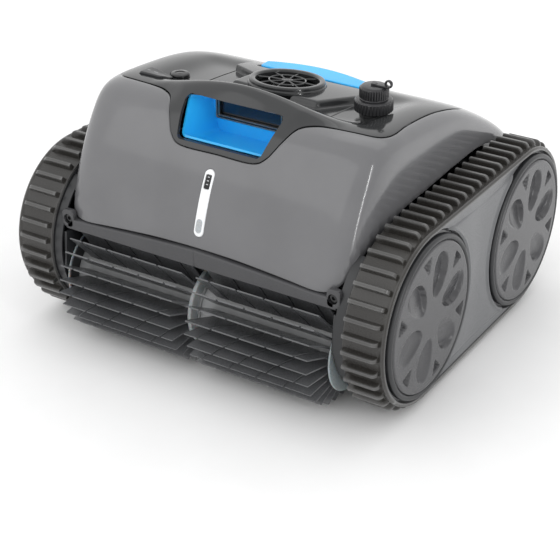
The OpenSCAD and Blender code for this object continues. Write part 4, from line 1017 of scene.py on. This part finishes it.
def side_panel():
    """Moulding on the side cover between the wheels. It stands at COVER_X, rises by a lip
    1.7 exp(-((d - 2.6) / 1.7)^2) at a distance d from each wheel, and bows inwards between them."""
    def edge(z):
        """Half width in Y between the two discs at a height."""
        return REAR_Y - np.sqrt(np.clip((DISC_R + 2.2) ** 2 - (z - AXLE_Z) ** 2, 0, None))
    z = np.linspace(AXLE_Z - 74.0, AXLE_Z + 74.0, 110)
    half = np.minimum(edge(z), 70.0)
    share = np.concatenate([[-1.0], np.linspace(-0.985, 0.985, 78), [1.0]])
    rings = []
    for here, width in zip(z, half):
        y = share * width
        gap = np.hypot(REAR_Y - np.abs(y), here - AXLE_Z) - DISC_R - 2.2
        rise = 1.7 * np.exp(-((gap - 2.6) / 1.7) ** 2) - 1.1 * np.exp(-(y / (0.5 * width + 6)) ** 2)
        ends = 3.0 * np.clip((np.abs(here - AXLE_Z) - 69) / 5, 0, 1) ** 2
        x = COVER_X + rise - ends - 1.6 * (np.abs(share) == 1)  # the outermost columns turn in
        front = np.column_stack([x, y, np.full(len(y), here)])
        behind = np.column_stack([np.full(2, COVER_X - 4.0), [width, -width], np.full(2, here)])
        rings.append(np.concatenate([front, behind]))
    return skin("side_panel_right", np.array(rings))


COVER_X = 203.3
panel = side_panel()
dress(mirrored(panel, "side_panel_left"), "side_cover_left", stands_for=False)
dress(panel, "side_cover_right", stands_for=False)

# ---------------------------------------------------------------- plain pieces, with their edges rounded
EDGE_MM = {
    "side_cover_left": 1.4, "side_cover_right": 1.4, "rear_bumper": 2.5, "brush_hood": 0.6,
    "side_frame_left": 0.7, "side_frame_right": 0.7, "chassis_tub": 1.0, "charge_socket": 0.5,
    "battery_pack": 2.0, "control_box": 1.5, "inlet_flap_left": 0.6, "inlet_flap_right": 0.6}
for node, width in EDGE_MM.items():
    softened(node, width)

# ---------------------------------------------------------------- stage, light and camera
FLOOR_HALF = 6000
corners = [(-FLOOR_HALF, -FLOOR_HALF, 0), (FLOOR_HALF, -FLOOR_HALF, 0), (FLOOR_HALF, FLOOR_HALF, 0),
           (-FLOOR_HALF, FLOOR_HALF, 0)]
floor = make("floor", corners, [[0, 1, 2, 3]])
floor.data.materials.append(finish("matt_paper_white", "#f7f7f7", "#f5f5f5", 0.7, 2.0, 0.01))

world = bpy.data.worlds.new("studio")
bpy.context.scene.world = world
world.use_nodes = True
sky = world.node_tree
way = add(sky, "SeparateXYZ", {"Vector": add(sky, "TexCoord").outputs["Generated"]}).outputs["X"]
dome = add(sky, "MapRange", {"Value": way}, From_Min=-1.0, From_Max=1.0, To_Min=1.3, To_Max=0.84).outputs[0]
sky.nodes["Background"].inputs["Color"].default_value = linear("#ffffff")
sky.links.new(dome, sky.nodes["Background"].inputs["Strength"])


def softbox(name, place, target, size, power):
    """A rectangular soft light aimed at a point; places in metres."""
    lamp = bpy.data.lights.new(name, "AREA")
    lamp.shape, lamp.size, lamp.size_y, lamp.energy = "RECTANGLE", size[0], size[1], power
    light = bpy.data.objects.new(name, lamp)
    light.location = place
    light.rotation_euler = (Vector(target) - Vector(place)).to_track_quat("-Z", "Y").to_euler()
    bpy.context.scene.collection.objects.link(light)


softbox("key", (-1.0, -2.4, 2.2), (0, 0, 0.1), (2.6, 1.8), 9)
softbox("side", (2.6, -0.9, 1.0), (0, 0, 0.15), (0.12, 1.9), 16)
softbox("top", (0.0, 1.2, 2.4), (0, 0, 0.1), (2.4, 1.4), 6)

CAMERA_AZIMUTH, CAMERA_ELEVATION, CAMERA_DISTANCE = 32.3, 28.74, 1.5477
CAMERA_TARGET = Vector((-0.0186, 0.0, 0.0151))
camera = bpy.data.objects.new("camera", bpy.data.cameras.new("camera"))
camera.data.lens, camera.data.sensor_width = 95.8, 36.0
azimuth, elevation = math.radians(CAMERA_AZIMUTH), math.radians(CAMERA_ELEVATION)
back = Vector((math.sin(azimuth) * math.cos(elevation), -math.cos(azimuth) * math.cos(elevation),
               math.sin(elevation)))
camera.location = CAMERA_TARGET + back * CAMERA_DISTANCE
camera.rotation_euler = (-back).to_track_quat("-Z", "Y").to_euler()
bpy.context.scene.collection.objects.link(camera)
bpy.context.scene.camera = camera
bpy.context.scene.view_settings.view_transform = "Standard"
